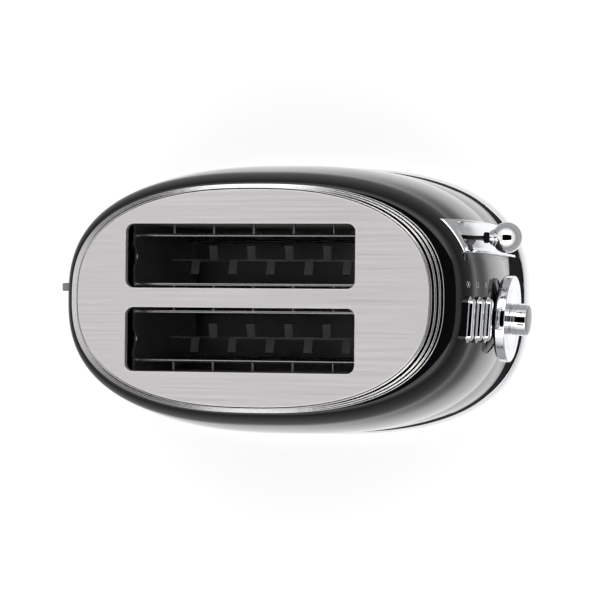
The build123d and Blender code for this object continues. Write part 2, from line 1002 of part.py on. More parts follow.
def make_tray_door():
    """Piece of the band's own wall, with a pull, that closes the band's opening."""
    gap = tray_door_gap
    cut = block(
        -ring_length,
        -ring_length / 2 + 2 * ring_wall,
        -tray_half_width,
        tray_half_width,
        ring_top + gap,
        tray_door_top,
    )
    door = band_volume(0.0, hem_level) & cut
    core = band_volume(-band_wall, hem_level) & block(
        -ring_length,
        -ring_length / 2 + 2 * ring_wall,
        -ring_width,
        ring_width,
        ring_top - 1.0,
        hem_level,
    )
    back = block(
        -ring_length / 2 + 2 * ring_wall - tray_door_sheet,
        -ring_length / 2 + 2 * ring_wall,
        -tray_half_width,
        tray_half_width,
        ring_top + gap,
        tray_door_top,
    )
    door = door - core + back
    sides = []
    for side in (-1, 1):
        sides.append(
            block(
                -ring_length / 2 + ring_wall / 2,
                -ring_length / 2 + 2 * ring_wall,
                side * (tray_half_width - tray_door_sheet),
                side * tray_half_width,
                ring_top + gap,
                tray_door_top,
            )
            & band_volume(0.0, hem_level)
        )
    for wall in sides:
        door += wall
    middle = (ring_top + tray_door_top) / 2
    face = -band_half_sizes(middle)[0]
    door += block(
        face - tray_pull_reach,
        face + band_wall,
        -tray_pull_width / 2,
        tray_pull_width / 2,
        middle - tray_pull_height / 2,
        middle + tray_pull_height / 2,
    )
    return door


def make_tray_runners():
    floor_top = pan_bottom + pan_thickness
    runners = []
    for side in (-1, 1):
        inner = tray_half_width - runner_ledge
        outer = tray_half_width + runner_gap + runner_wall
        runner = block(runner_rear, tray_front, side * inner, side * outer, floor_top, tray_bottom)
        runner += block(
            runner_rear,
            tray_front,
            side * (tray_half_width + runner_gap),
            side * outer,
            floor_top,
            tray_bottom + runner_height,
        )
        runners.append(runner)
    return runners


def make_rear_spacer():
    rear = -wall_half_length(spacer_level)
    spacer = block(
        rear - spacer_proud,
        rear + spacer_root,
        spacer_y - spacer_width / 2,
        spacer_y + spacer_width / 2,
        spacer_level - spacer_height / 2,
        spacer_level + spacer_height / 2,
    )
    return fillet(spacer.faces().sort_by(Axis.X)[0].edges(), 1.2)


def make_cord_inlet():
    """Bush through the rear wall, with a rim outside and one inside."""
    rear = -wall_half_length(inlet_level)
    inlet = rod_x_way(inlet_y, inlet_level, inlet_radius, rear - inlet_proud, rear + inlet_root)
    outer_rim = rear - inlet_flange_gap
    inner_rim = rear + shell_wall + inlet_flange_gap
    for start in (outer_rim - inlet_flange_sheet, inner_rim):
        inlet += rod_x_way(
            inlet_y, inlet_level, inlet_radius + inlet_flange, start, start + inlet_flange_sheet
        )
    return inlet - rod_x_way(inlet_y, inlet_level, inlet_bore, rear - ring_wall, rear + 2 * inlet_root)


dial_reach = dial_origin[0] + (grip_end + grip_dome) * panel_axis[0]
front_reach = max(dial_reach, ball_x + ball_radius)
origin_shift = (ring_length / 2 - front_reach) / 2


def save(name, made):
    """Write one node, a solid or a group of separate solids, about the origin."""
    pieces = made if isinstance(made, list) else [made]
    solids = []
    for piece in pieces:
        solids += [solid.moved(Location((origin_shift, 0, 0))) for solid in piece.solids()]
    shape = solids[0] if len(solids) == 1 else Compound(children=solids)
    shape.label = name
    export_step(shape, os.path.join("parts", name + ".step"))


def main():
    os.makedirs("parts", exist_ok=True)
    save("shell", make_shell())
    save("top_rim", make_top_rim())
    save("top_plate", make_top_plate())
    save("skirt_band", make_skirt_band())
    save("base_ring", make_base_ring())
    save("base_pan", make_base_pan())
    save("base_screws", make_base_screws())
    save("feet", make_feet())
    save("rear_end_plate", make_end_plate(oven_rear - sheet, False))
    save("front_end_plate", make_end_plate(oven_front, True))
    save("side_reflectors", both_sides(reflector_y, reflector_y + reflector_sheet, oven_bottom, oven_top))
    save(
        "centre_reflector",
        block(
            oven_rear, oven_front, -reflector_sheet / 2, reflector_sheet / 2, board_bottom, board_top
        ),
    )
    outer_far = outer_board_y + board_sheet
    inner_far = inner_board_y + board_sheet
    save("outer_heater_boards", both_sides(outer_board_y, outer_far, board_bottom, board_top))
    save("inner_heater_boards", both_sides(inner_board_y, inner_far, board_bottom, board_top))
    save("heater_ribbons", make_heater_ribbons())
    save("left_bread_guides", make_guides(1))
    save("right_bread_guides", make_guides(-1))
    save("left_bread_carrier", make_bread_carrier(1))
    save("right_bread_carrier", make_bread_carrier(-1))
    save("carriage_plate", make_carriage_plate())
    save("carriage_bushings", make_carriage_bushings())
    save("guide_rods", make_guide_rods())
    save("rod_bridge", make_rod_bridge())
    save("return_spring", make_return_spring())
    save("latch_magnet", make_latch_magnet())
    save("latch_armature", make_latch_armature())
    save("lever_arm", make_lever_arm())
    save("lever_neck", make_lever_neck())
    save("lever_knob", make_lever_knob())
    save("lever_surround", make_lever_surround())
    save("dial_flange", make_dial_flange())
    save("dial_grip", make_dial_grip())
    save("dial_cap", make_dial_cap())
    save("dial_shaft", make_dial_shaft())
    save("dial_control", make_dial_control())
    for index, name in enumerate(("defrost_button", "reheat_button", "cancel_button")):
        save(name, make_button(index))
    save("button_bezels", make_button_bezels())
    save("button_switches", make_button_switches())
    save("control_board", make_control_board())
    save("crumb_tray", make_crumb_tray())
    save("tray_door", make_tray_door())
    save("tray_runners", make_tray_runners())
    save("rear_spacer", make_rear_spacer())
    save("cord_inlet", make_cord_inlet())


main()
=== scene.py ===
"""Dresses the oval toaster: its turned and lofted bright parts, its gloss shell, finishes and stage."""
import json
import math

import bmesh
import bpy
from bpy.props import FloatProperty, FloatVectorProperty, IntProperty, PointerProperty
from mathutils import Matrix, Vector


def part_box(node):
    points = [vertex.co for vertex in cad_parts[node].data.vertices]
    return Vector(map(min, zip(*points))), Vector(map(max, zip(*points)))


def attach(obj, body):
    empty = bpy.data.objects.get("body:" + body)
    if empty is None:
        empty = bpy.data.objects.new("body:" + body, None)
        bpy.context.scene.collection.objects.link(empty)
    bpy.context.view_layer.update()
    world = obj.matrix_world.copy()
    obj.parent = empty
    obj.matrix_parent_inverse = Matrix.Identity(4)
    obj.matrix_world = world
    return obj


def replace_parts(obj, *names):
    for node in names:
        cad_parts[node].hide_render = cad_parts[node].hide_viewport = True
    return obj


bl_info = {
    "name": "Oval toaster dresser",
    "version": (1, 0, 0),
    "blender": (4, 5, 0),
    "location": "3D Viewport > Sidebar > Toaster",
    "description": "Builds the visible pieces, finishes and stage of an oval two-slot toaster",
    "category": "Object",
}

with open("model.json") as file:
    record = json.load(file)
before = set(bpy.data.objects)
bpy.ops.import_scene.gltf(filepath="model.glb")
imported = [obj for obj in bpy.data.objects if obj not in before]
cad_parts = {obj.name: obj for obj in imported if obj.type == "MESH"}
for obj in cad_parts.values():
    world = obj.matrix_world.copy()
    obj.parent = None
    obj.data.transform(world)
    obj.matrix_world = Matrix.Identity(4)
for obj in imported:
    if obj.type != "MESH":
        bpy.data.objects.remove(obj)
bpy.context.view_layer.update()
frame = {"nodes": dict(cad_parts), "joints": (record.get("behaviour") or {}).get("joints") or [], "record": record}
MM = 0.001
RING_POINTS = 288
BUTTON_COUNT = 3
CORNER_STEPS = 16


def joint_named(name):
    return next(joint for joint in frame["joints"] if joint["name"] == name)


def middle_of(node):
    low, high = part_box(node)
    return (low + high) / 2


def span_of(node):
    low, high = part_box(node)
    return high - low


# The body's own middle line, which the sticking-out dial pushes off the origin
BODY_X = middle_of("base_ring").x
DIAL_CENTRE = Vector(joint_named("dial_turn")["pos_m"])
PANEL_AXIS = Vector(joint_named("dial_turn")["axis"]).normalized()
PANEL_SIDE = Vector((0.0, 0.0, 1.0)).cross(PANEL_AXIS).normalized()
PANEL_UP = PANEL_AXIS.cross(PANEL_SIDE)


class WallSizes(bpy.types.PropertyGroup):
    """Outline of the shell at three levels, and its rounded shoulder"""

    shoulder_level: FloatProperty(
        name="Shoulder level", description="Height of the upper outline", default=166 * MM, unit="LENGTH"
    )
    shoulder_half_length: FloatProperty(
        name="Shoulder half length", description="Half length there", default=123 * MM, unit="LENGTH"
    )
    shoulder_half_width: FloatProperty(
        name="Shoulder half width", description="Half width there", default=76.4 * MM, unit="LENGTH"
    )
    belly_level: FloatProperty(
        name="Belly level", description="Height of the middle outline", default=75 * MM, unit="LENGTH"
    )
    belly_half_length: FloatProperty(
        name="Belly half length", description="Half length there", default=132.5 * MM, unit="LENGTH"
    )
    belly_half_width: FloatProperty(
        name="Belly half width", description="Half width there", default=85.8 * MM, unit="LENGTH"
    )
    hem_half_length: FloatProperty(
        name="Hem half length", description="Half length at the shell's hem", default=135.7 * MM,
        unit="LENGTH",
    )
    hem_half_width: FloatProperty(
        name="Hem half width", description="Half width at the shell's hem", default=84.8 * MM, unit="LENGTH"
    )
    crown_half_length: FloatProperty(
        name="Crown half length", description="Half length of the shell's top edge", default=116 * MM,
        unit="LENGTH",
    )
    crown_half_width: FloatProperty(
        name="Crown half width", description="Half width of the shell's top edge", default=69.4 * MM,
        unit="LENGTH",
    )
    shoulder_depth: FloatProperty(
        name="Shoulder depth", description="Height of the rounded shoulder", default=18 * MM, unit="LENGTH"
    )
    belly_exponent: FloatProperty(name="Belly squareness", description="Outline exponent", default=2.55)
    hem_exponent: FloatProperty(name="Hem squareness", description="Outline exponent", default=2.9)
    front_bulge: FloatProperty(
        name="Front bulge", description="Size of the front end wall's swell", default=23 * MM, unit="LENGTH"
    )
    front_rise: FloatProperty(name="Front rise", description="Power of the swell's foot", default=1.15)
    front_fall: FloatProperty(name="Front fall", description="Power of the swell's head", default=0.36)
    front_flat: FloatProperty(
        name="Front flat", description="How far the wall is pressed in behind the buttons",
        default=1.7 * MM, unit="LENGTH",
    )
    flat_level: FloatProperty(
        name="Flat level", description="Height of the pressed-in part", default=156 * MM, unit="LENGTH"
    )
    flat_spread: FloatProperty(
        name="Flat spread", description="Half height of the pressed-in part", default=12 * MM,
        unit="LENGTH",
    )
    thickness: FloatProperty(
        name="Wall thickness", description="Thickness of the shell", default=3 * MM, unit="LENGTH"
    )


class TroughSizes(bpy.types.PropertyGroup):
    """Bright trough that the lever runs down"""

    left: FloatProperty(name="Left", description="Place of its left edge", default=48.6 * MM, unit="LENGTH")
    right: FloatProperty(
        name="Right", description="Place of its right edge", default=28.4 * MM, unit="LENGTH"
    )
    top: FloatProperty(
        name="Top", description="Height of its upper end", default=167.5 * MM, unit="LENGTH"
    )
    bottom: FloatProperty(
        name="Bottom", description="Height of its lower end", default=46 * MM, unit="LENGTH"
    )
    proud: FloatProperty(
        name="Proud", description="How far its rim stands off the wall", default=4.5 * MM, unit="LENGTH"
    )
    floor_proud: FloatProperty(
        name="Floor proud", description="How far its floor stands off the wall", default=1.3 * MM,
        unit="LENGTH",
    )
    seat_gap: FloatProperty(
        name="Seat gap", description="Gap between its underside and the wall", default=0.1 * MM,
        unit="LENGTH",
    )
    tip_proud: FloatProperty(
        name="Tip proud", description="How far its upper end stands off the wall", default=1.3 * MM,
        unit="LENGTH",
    )
    tip_length: FloatProperty(
        name="Tip length", description="Length over which the upper end thins out", default=15 * MM,
        unit="LENGTH",
    )
    rim: FloatProperty(name="Rim", description="Width of its rim", default=1.5 * MM, unit="LENGTH")
    left_slope: FloatProperty(
        name="Left slope", description="Width of the bank between left rim and floor", default=5 * MM,
        unit="LENGTH",
    )
    right_slope: FloatProperty(
        name="Right slope", description="Width of the bank between right rim and floor",
        default=2.4 * MM, unit="LENGTH",
    )
    end_rim: FloatProperty(
        name="End rim", description="Width of the lip round its upper end", default=3.6 * MM,
        unit="LENGTH",
    )
    end_slope: FloatProperty(
        name="End slope", description="Length of the bank at its upper end", default=4 * MM,
        unit="LENGTH",
    )
    slot_top: FloatProperty(
        name="Slot top", description="Height of the upper end of the lever's slot", default=162 * MM,
        unit="LENGTH",
    )
    slot_half: FloatProperty(
        name="Slot half", description="Half width of the slot in the trough", default=1.3 * MM,
        unit="LENGTH",
    )
    shell_slot_half: FloatProperty(
        name="Shell slot half", description="Half width of the slot in the shell", default=2.4 * MM,
        unit="LENGTH",
    )


class ButtonSizes(bpy.types.PropertyGroup):
    """Three push buttons and their bezels"""

    level_one: FloatProperty(
        name="Upper level", description="Height of the upper button", default=168 * MM, unit="LENGTH"
    )
    pitch: FloatProperty(
        name="Pitch", description="Distance between buttons", default=12.5 * MM, unit="LENGTH"
    )
    side: FloatProperty(
        name="Side", description="Sideways place of the buttons", default=-11.7 * MM, unit="LENGTH"
    )
    length: FloatProperty(
        name="Length", description="Length of a bezel", default=28 * MM, unit="LENGTH"
    )
    height: FloatProperty(
        name="Height", description="Height of a bezel", default=9.4 * MM, unit="LENGTH"
    )
    wall: FloatProperty(
        name="Bezel wall", description="Thickness of a bezel", default=1.0 * MM, unit="LENGTH"
    )
    gap: FloatProperty(
        name="Gap", description="Clearance round a button", default=0.4 * MM, unit="LENGTH"
    )
    reach: FloatProperty(
        name="Reach", description="How far a bezel stands out", default=1.0 * MM, unit="LENGTH"
    )
    root: FloatProperty(
        name="Root", description="How deep a bezel sits in the wall", default=6.0 * MM, unit="LENGTH"
    )
    proud: FloatProperty(
        name="Proud", description="How far a button stands out of its bezel", default=2.9 * MM,
        unit="LENGTH",
    )


class DialSizes(bpy.types.PropertyGroup):
    """Round dial with a grip in its middle"""

    gap: FloatProperty(
        name="Gap", description="Gap between dial and wall", default=0.8 * MM, unit="LENGTH"
    )
    back_radius: FloatProperty(
        name="Back radius", description="Radius at the back", default=25.3 * MM, unit="LENGTH"
    )
    radius: FloatProperty(
        name="Radius", description="Radius of the rim", default=26.8 * MM, unit="LENGTH"
    )
    cone: FloatProperty(
        name="Cone", description="Depth of the sloping back", default=1.5 * MM, unit="LENGTH"
    )
    depth: FloatProperty(
        name="Depth", description="Depth of the whole flange", default=7 * MM, unit="LENGTH"
    )
    grip_radius: FloatProperty(
        name="Grip radius", description="Radius of the grip", default=10 * MM, unit="LENGTH"
    )
    grip_reach: FloatProperty(
        name="Grip reach", description="How far the grip stands out", default=10 * MM, unit="LENGTH"
    )
    numerals: IntProperty(name="Numerals", description="How many settings are numbered", default=6)


class StageSizes(bpy.types.PropertyGroup):
    """Camera, floor and lights"""

    camera_place: FloatVectorProperty(
        name="Camera", description="Place of the camera over the body's middle",
        default=(380.14 * MM, -11.97 * MM, 1690 * MM), subtype="XYZ", unit="LENGTH",
    )
    camera_aim: FloatVectorProperty(
        name="Aim", description="Point in the middle of the picture",
        default=(30.53 * MM, -0.91 * MM, 190 * MM), subtype="XYZ", unit="LENGTH",
    )
    camera_roll: FloatProperty(
        name="Roll", description="Turn of the camera about its own line of sight",
        default=math.radians(0.54), subtype="ANGLE",
    )
    focal_length: FloatProperty(
        name="Focal length", description="In millimetres, on a 36 mm sensor", default=154.916
    )
    sky: FloatProperty(name="Sky", description="Strength of the even light round the object", default=0.6)
    ceiling: FloatProperty(name="Ceiling", description="Brightness of the mirrored ceiling", default=0.95)
    horizon: FloatProperty(name="Horizon", description="Brightness of the mirrored walls", default=0.32)
    floor_glow: FloatProperty(name="Floor glow", description="Light added to the floor", default=0.42)
    # Floor squeeze, near, far and grey shape a painted pool of light on the floor, seen only in mirrors
    floor_squeeze: FloatProperty(
        name="Floor squeeze", description="Scale of the floor's fade along the toaster", default=0.6
    )
    floor_near: FloatProperty(
        name="Floor near", description="Distance at which the mirrored floor starts to fade",
        default=92 * MM, unit="LENGTH",
    )
    floor_far: FloatProperty(
        name="Floor far", description="Distance at which it has faded", default=190 * MM, unit="LENGTH"
    )
    # Painted grey of the floor far from the toaster, as mirrors see it
    painted_far_grey: FloatProperty(
        name="Floor grey", description="Brightness of the faded floor beside the near one", default=0.32
    )
    gap_middle: FloatProperty(
        name="Gap middle", description="Slope towards the middle of the ceiling's dark gap", default=0.2
    )
    gap_length: FloatProperty(
        name="Gap length", description="Half length of the gap as a slope off its middle", default=0.68
    )
    gap_width: FloatProperty(
        name="Gap width", description="Half width of the gap as a slope off the vertical", default=0.37
    )
    box_length: FloatProperty(
        name="Softbox length", description="Along the toaster", default=3.0, unit="LENGTH"
    )
    box_width: FloatProperty(
        name="Softbox width", description="Across the toaster", default=1.6, unit="LENGTH"
    )
    box_gap: FloatProperty(
        name="Softbox gap", description="Dark gap between the softboxes", default=1.6, unit="LENGTH"
    )
    box_ahead: FloatProperty(
        name="Box ahead", description="How far the softboxes stand towards the controls",
        default=0.55, unit="LENGTH",
    )
    box_level: FloatProperty(name="Softbox level", description="Height", default=2.0, unit="LENGTH")
    box_glow: FloatProperty(name="Softbox glow", description="Brightness of a softbox", default=1.15)


class FinishColours(bpy.types.PropertyGroup):
    """Colours of the main finishes"""

    shell: FloatVectorProperty(
        name="Shell", description="Gloss black of the shell", default=(0.004, 0.004, 0.005), subtype="COLOR"
    )
    band: FloatVectorProperty(
        name="Band", description="Satin black of the band", default=(0.006, 0.006, 0.007), subtype="COLOR"
    )
    chrome: FloatVectorProperty(
        name="Chrome", description="Bright plating", default=(0.86, 0.87, 0.89), subtype="COLOR"
    )
    top_steel: FloatVectorProperty(
        name="Top steel", description="Brushed steel of the top plate", default=(0.88, 0.85, 0.86),
        subtype="COLOR",
    )
    sheet_steel: FloatVectorProperty(
        name="Sheet steel", description="Plain sheet inside", default=(0.45, 0.45, 0.46), subtype="COLOR"
    )
    print_ink: FloatVectorProperty(
        name="Print", description="White print on the shell", default=(0.8, 0.8, 0.8), subtype="COLOR"
    )


# Shared geometry


def through(levels, height):
    """Value at a height of the parabola through three (height, value) pairs."""
    total = 0.0
    for index, (level, value) in enumerate(levels):
        share = value
        for other, (other_level, _) in enumerate(levels):
            if other != index:
                share *= (height - other_level) / (level - other_level)
        total += share
    return total


class Wall:
    """The shell's outer face as a formula, about the body's middle."""

    def __init__(self, sizes):
        low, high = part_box("shell")
        self.hem = low.z
        self.top = high.z
        self.sizes = sizes
        self.length_levels = (
            (sizes.shoulder_level, sizes.shoulder_half_length),
            (sizes.belly_level, sizes.belly_half_length),
            (self.hem, sizes.hem_half_length),
        )
        self.width_levels = (
            (sizes.shoulder_level, sizes.shoulder_half_width),
            (sizes.belly_level, sizes.belly_half_width),
            (self.hem, sizes.hem_half_width),
        )

    def pull_in(self, height):
        rise = (height - (self.top - self.sizes.shoulder_depth)) / self.sizes.shoulder_depth
        rise = min(max(rise, 0.0), 1.0)
        return 1.0 - math.sqrt(1.0 - rise * rise)

    def half_length(self, height):
        drop = through(self.length_levels, self.top) - self.sizes.crown_half_length
        return through(self.length_levels, height) - drop * self.pull_in(height)

    def half_width(self, height):
        drop = through(self.width_levels, self.top) - self.sizes.crown_half_width
        return through(self.width_levels, height) - drop * self.pull_in(height)

    def exponent(self, height):
        if height >= self.sizes.belly_level:
            return self.sizes.belly_exponent
        share = (self.sizes.belly_level - height) / (self.sizes.belly_level - self.hem)
        return self.sizes.belly_exponent + (self.sizes.hem_exponent - self.sizes.belly_exponent) * share

    def front_swell(self, height):
        """How much further the front end wall stands out than the rear one."""
        share = min(max((height - self.hem) / (self.top - self.hem), 0.0), 1.0)
        bulge = self.sizes.front_bulge * share**self.sizes.front_rise
        bulge *= (1.0 - share) ** self.sizes.front_fall
        away = (height - self.sizes.flat_level) / self.sizes.flat_spread
        return bulge - self.sizes.front_flat * math.exp(-away * away)

    def x_at(self, y, height, offset=0.0):
        """Reach of the front wall at a sideways place, moved out by an offset."""
        exponent = self.exponent(height)
        share = 1.0 - (abs(y) / (self.half_width(height) + offset)) ** exponent
        reach = self.half_length(height) + self.front_swell(height) + offset
        return reach * share ** (1.0 / exponent)

    def value(self, x, y, z):
        """1 on the face, less inside and more outside."""
        exponent = self.exponent(z)
        reach = self.half_length(z) + (self.front_swell(z) if x > 0.0 else 0.0)
        along = (abs(x) / reach) ** exponent
        across = (abs(y) / self.half_width(z)) ** exponent
        return along + across

    def normal(self, x, y, z):
        step = 0.02 * MM
        z = min(max(z, self.hem + step), self.top - 2 * step)
        slope = Vector(
            (
                self.value(x + step, y, z) - self.value(x - step, y, z),
                self.value(x, y + step, z) - self.value(x, y - step, z),
                self.value(x, y, z + step) - self.value(x, y, z - step),
            )
        )
        return slope.normalized()


def oval_ring(half_length, half_width, exponent, height, swell=0.0, count=RING_POINTS):
    """Points of a superellipse, anticlockwise from +X, its front half longer by a swell."""
    points = []
    for step in range(count):
        angle = 2.0 * math.pi * step / count
        c = math.cos(angle)
        s = math.sin(angle)
        reach = half_length + (swell if c > 0.0 else 0.0)
        x = math.copysign(reach * abs(c) ** (2.0 / exponent), c)
        y = math.copysign(half_width * abs(s) ** (2.0 / exponent), s)
        points.append(Vector((x, y, height)))
    return points


def rounded_box_ring(width, height, corner, steps=10):
    """Points of a rounded rectangle in a plane, anticlockwise, as (side, up) pairs."""
    points = []
    centres = (
        (width / 2 - corner, height / 2 - corner, 0.0),
        (-width / 2 + corner, height / 2 - corner, 0.5),
        (-width / 2 + corner, -height / 2 + corner, 1.0),
        (width / 2 - corner, -height / 2 + corner, 1.5),
    )
    for centre_x, centre_y, start in centres:
        for step in range(steps + 1):
            angle = math.pi * (start + 0.5 * step / steps)
            points.append((centre_x + corner * math.cos(angle), centre_y + corner * math.sin(angle)))
    return points


def circle_ring(radius, count=48):
    """Points of a circle in a plane, as (side, up) pairs."""
    turns = [2 * math.pi * step / count for step in range(count)]
    return [(radius * math.cos(turn), radius * math.sin(turn)) for turn in turns]


def rounded_profile(corners, steps=5):
    """Profile through (out, up, radius) corners, each rounded to its radius."""
    points = []
    last = len(corners) - 1
    for index, (x, y, radius) in enumerate(corners):
        here = Vector((x, y))
        if radius <= 0.0 or index in (0, last):
            points.append(here)
            continue
        before = (Vector(corners[index - 1][:2]) - here).normalized()
        after = (Vector(corners[index + 1][:2]) - here).normalized()
        half = before.angle(after) / 2
        reach = radius / math.tan(half)
        centre = here + (before + after).normalized() * (radius / math.sin(half))
        start = here + before * reach - centre
        end = here + after * reach - centre
        turn = start.angle_signed(end)
        for step in range(steps + 1):
            angle = turn * step / steps
            spun = Vector(
                (
                    start.x * math.cos(angle) + start.y * math.sin(angle),
                    -start.x * math.sin(angle) + start.y * math.cos(angle),
                )
            )
            points.append(centre + spun)
    return points


def finish_named(name):
    return bpy.data.materials[name]


def skin(rings, closed=False, capped=False):
    """Points and faces of a surface over rings of equally many points."""
    count = len(rings[0])
    points = [point for ring in rings for point in ring]
    faces = []
    spans = len(rings) if closed else len(rings) - 1
    for ring in range(spans):
        near = ring * count
        far = (ring + 1) % len(rings) * count
        for step in range(count):
            after = (step + 1) % count
            faces.append((near + step, near + after, far + after, far + step))
    if capped:
        faces.append(tuple(reversed(range(count))))
        faces.append(tuple(range((len(rings) - 1) * count, len(rings) * count)))
    return points, faces


def add_piece(name, points, faces, finish, body, sharp=40.0, shift=True):
    """Smooth-shaded mesh piece that rides on a body; points are about the body's middle."""
    offset = Vector((BODY_X, 0.0, 0.0)) if shift else Vector()
    mesh = bpy.data.meshes.new(name)
    mesh.from_pydata([tuple(point + offset) for point in points], [], faces)
    mesh.validate()
    tidy = bmesh.new()
    tidy.from_mesh(mesh)
    bmesh.ops.remove_doubles(tidy, verts=tidy.verts, dist=0.001 * MM)
    bmesh.ops.recalc_face_normals(tidy, faces=tidy.faces)
    tidy.to_mesh(mesh)
    tidy.free()
    mesh.shade_smooth()
    mesh.set_sharp_from_angle(angle=math.radians(sharp))
    mesh.materials.append(finish_named(finish))
    piece = bpy.data.objects.new(name, mesh)
    bpy.context.scene.collection.objects.link(piece)
    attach(piece, body)
    return piece


def lathe(name, profile, place, finish, body, segments=192, sharp=40.0):
    """Piece turned about the third axis of a placing matrix, from (radius, height) points."""
    rings = []
    for radius, height in profile:
        ring = []
        for step in range(segments):
            angle = 2.0 * math.pi * step / segments
            flat = Vector((radius * math.cos(angle), radius * math.sin(angle), height))
            ring.append(place @ flat)
        rings.append(ring)
    points, faces = skin(rings)
    return add_piece(name, points, faces, finish, body, sharp, shift=False)


def panel_place(centre):
    """Matrix with its third axis out of the control panel."""
    place = Matrix((PANEL_SIDE, PANEL_UP, PANEL_AXIS)).transposed().to_4x4()
    place.translation = centre
    return place


def forward_place(centre):
    """Matrix with its third axis towards the control end."""
    place = Matrix(((0, 0, 1), (0, 1, 0), (-1, 0, 0))).to_4x4()
    place.translation = centre
    return place


def cut_with(piece, cutters):
    """Cuts closed meshes out of a piece and deletes them."""
    for cutter in cutters:
        cut = piece.modifiers.new("cut", "BOOLEAN")
        cut.operation = "DIFFERENCE"
        cut.solver = "EXACT"
        cut.object = cutter
        depsgraph = bpy.context.evaluated_depsgraph_get()
        mesh = bpy.data.meshes.new_from_object(piece.evaluated_get(depsgraph))
        old = piece.data
        piece.modifiers.remove(cut)
        piece.data = mesh
        bpy.data.meshes.remove(old)
        bpy.data.objects.remove(cutter)


def cutter_from(points, faces):
    mesh = bpy.data.meshes.new("cutter")
    offset = Vector((BODY_X, 0.0, 0.0))
    mesh.from_pydata([tuple(point + offset) for point in points], [], faces)
    solid = bmesh.new()
    solid.from_mesh(mesh)
    bmesh.ops.recalc_face_normals(solid, faces=solid.faces)
    solid.to_mesh(mesh)
    solid.free()
    cutter = bpy.data.objects.new("cutter", mesh)
    bpy.context.scene.collection.objects.link(cutter)
    return cutter


def box_cutter(low, high):
    rings = []
    for z in (low[2], high[2]):
        rings.append(
            [
                Vector((low[0], low[1], z)),
                Vector((high[0], low[1], z)),
                Vector((high[0], high[1], z)),
                Vector((low[0], high[1], z)),
            ]
        )
    return cutter_from(*skin(rings, capped=True))


def panel_cutter(place, outline):
    """Prism over an outline of (side, up) pairs, through the wall at a placing matrix."""
    through_wall = 8 * MM
    shift = Vector((-BODY_X, 0.0, 0.0))
    rings = []
    for depth in (-through_wall, through_wall):
        rings.append([place @ Vector((side, up, depth)) + shift for side, up in outline])
    return cutter_from(*skin(rings, capped=True))


def lever_slot_cutter(sizes, half_slot):
    """Box that the lever's blade runs in, from the housing's inside out."""
    arm_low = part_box("lever_arm")[0]
    knob = middle_of("lever_knob")
    travel = joint_named("lever_slide")["range_m"][1]
    blade_reach = 6.5 * MM
    inside = 18 * MM
    low = (arm_low.x - BODY_X + inside, knob.y - half_slot, knob.z - blade_reach - travel)
    high = (knob.x - BODY_X, knob.y + half_slot, sizes.slot_top)
    return box_cutter(low, high)


# Shared effects


def new_group(name, inputs, outputs):
    """Node group with named sockets, each a (name, kind, default) row."""
    group = bpy.data.node_groups.new(name, "ShaderNodeTree")
    for label, kind, default in inputs:
        socket = group.interface.new_socket(label, in_out="INPUT", socket_type=kind)
        if default is not None:
            socket.default_value = default
    for label, kind in outputs:
        group.interface.new_socket(label, in_out="OUTPUT", socket_type=kind)
    start = group.nodes.new("NodeGroupInput")
    end = group.nodes.new("NodeGroupOutput")
    return group, start, end


def node_in(tree, kind, **values):
    node = tree.nodes.new(kind)
    for name, value in values.items():
        setattr(node, name, value)
    return node


def scaled_noise(tree, scale, detail, stretch=(1.0, 1.0, 1.0)):
    """Noise over the object's own coordinates, stretched along an axis."""
    place = tree.nodes.new("ShaderNodeTexCoord")
    mapping = tree.nodes.new("ShaderNodeMapping")
    mapping.inputs["Scale"].default_value = stretch
    noise = tree.nodes.new("ShaderNodeTexNoise")
    noise.inputs["Scale"].default_value = scale
    noise.inputs["Detail"].default_value = detail
    tree.links.new(place.outputs["Object"], mapping.inputs["Vector"])
    tree.links.new(mapping.outputs["Vector"], noise.inputs["Vector"])
    return noise


def feed(tree, source, socket):
    """Links an output to a socket, or sets the socket to a number."""
    if isinstance(source, bpy.types.NodeSocket):
        tree.links.new(source, socket)
    else:
        socket.default_value = source


def math_of(tree, operation, *sources, clamp=False):
    """Result of a Math node over outputs and numbers."""
    node = node_in(tree, "ShaderNodeMath", operation=operation, use_clamp=clamp)
    for socket, source in zip(node.inputs, sources):
        feed(tree, source, socket)
    return node.outputs[0]


def mix_of(tree, kind, share, first, second):
    """Result of a Mix node that goes from the first source to the second."""
    node = node_in(tree, "ShaderNodeMix", data_type=kind)
    for name, source in (("Factor", share), ("A", first), ("B", second)):
        feed(tree, source, node.inputs[name])
    return node.outputs["Result"]


def ramp(tree, source, start, end, low, high, curve="LINEAR"):
    """Result of a Map Range node that goes from low at the start to high at the end."""
    node = node_in(tree, "ShaderNodeMapRange", interpolation_type=curve)
    names = ("Value", "From Min", "From Max", "To Min", "To Max")
    for name, value in zip(names, (source, start, end, low, high)):
        feed(tree, value, node.inputs[name])
    return node.outputs["Result"]


def build_smudge_group():
    """Uneven roughness of a wiped, lightly handled surface."""
    group, start, end = new_group(
        "Handled surface",
        [("Clean", "NodeSocketFloat", 0.04), ("Smudged", "NodeSocketFloat", 0.12)],
        [("Roughness", "NodeSocketFloat")],
    )
    coarse = scaled_noise(group, 18.0, 3.0).outputs["Fac"]
    fine = scaled_noise(group, 240.0, 2.0).outputs["Fac"]
    marks = math_of(group, "MULTIPLY", coarse, fine)
    marks_low, marks_high = 0.18, 0.42
    rough = ramp(group, marks, marks_low, marks_high, start.outputs["Clean"], start.outputs["Smudged"])
    group.links.new(rough, end.inputs["Roughness"])
    return group


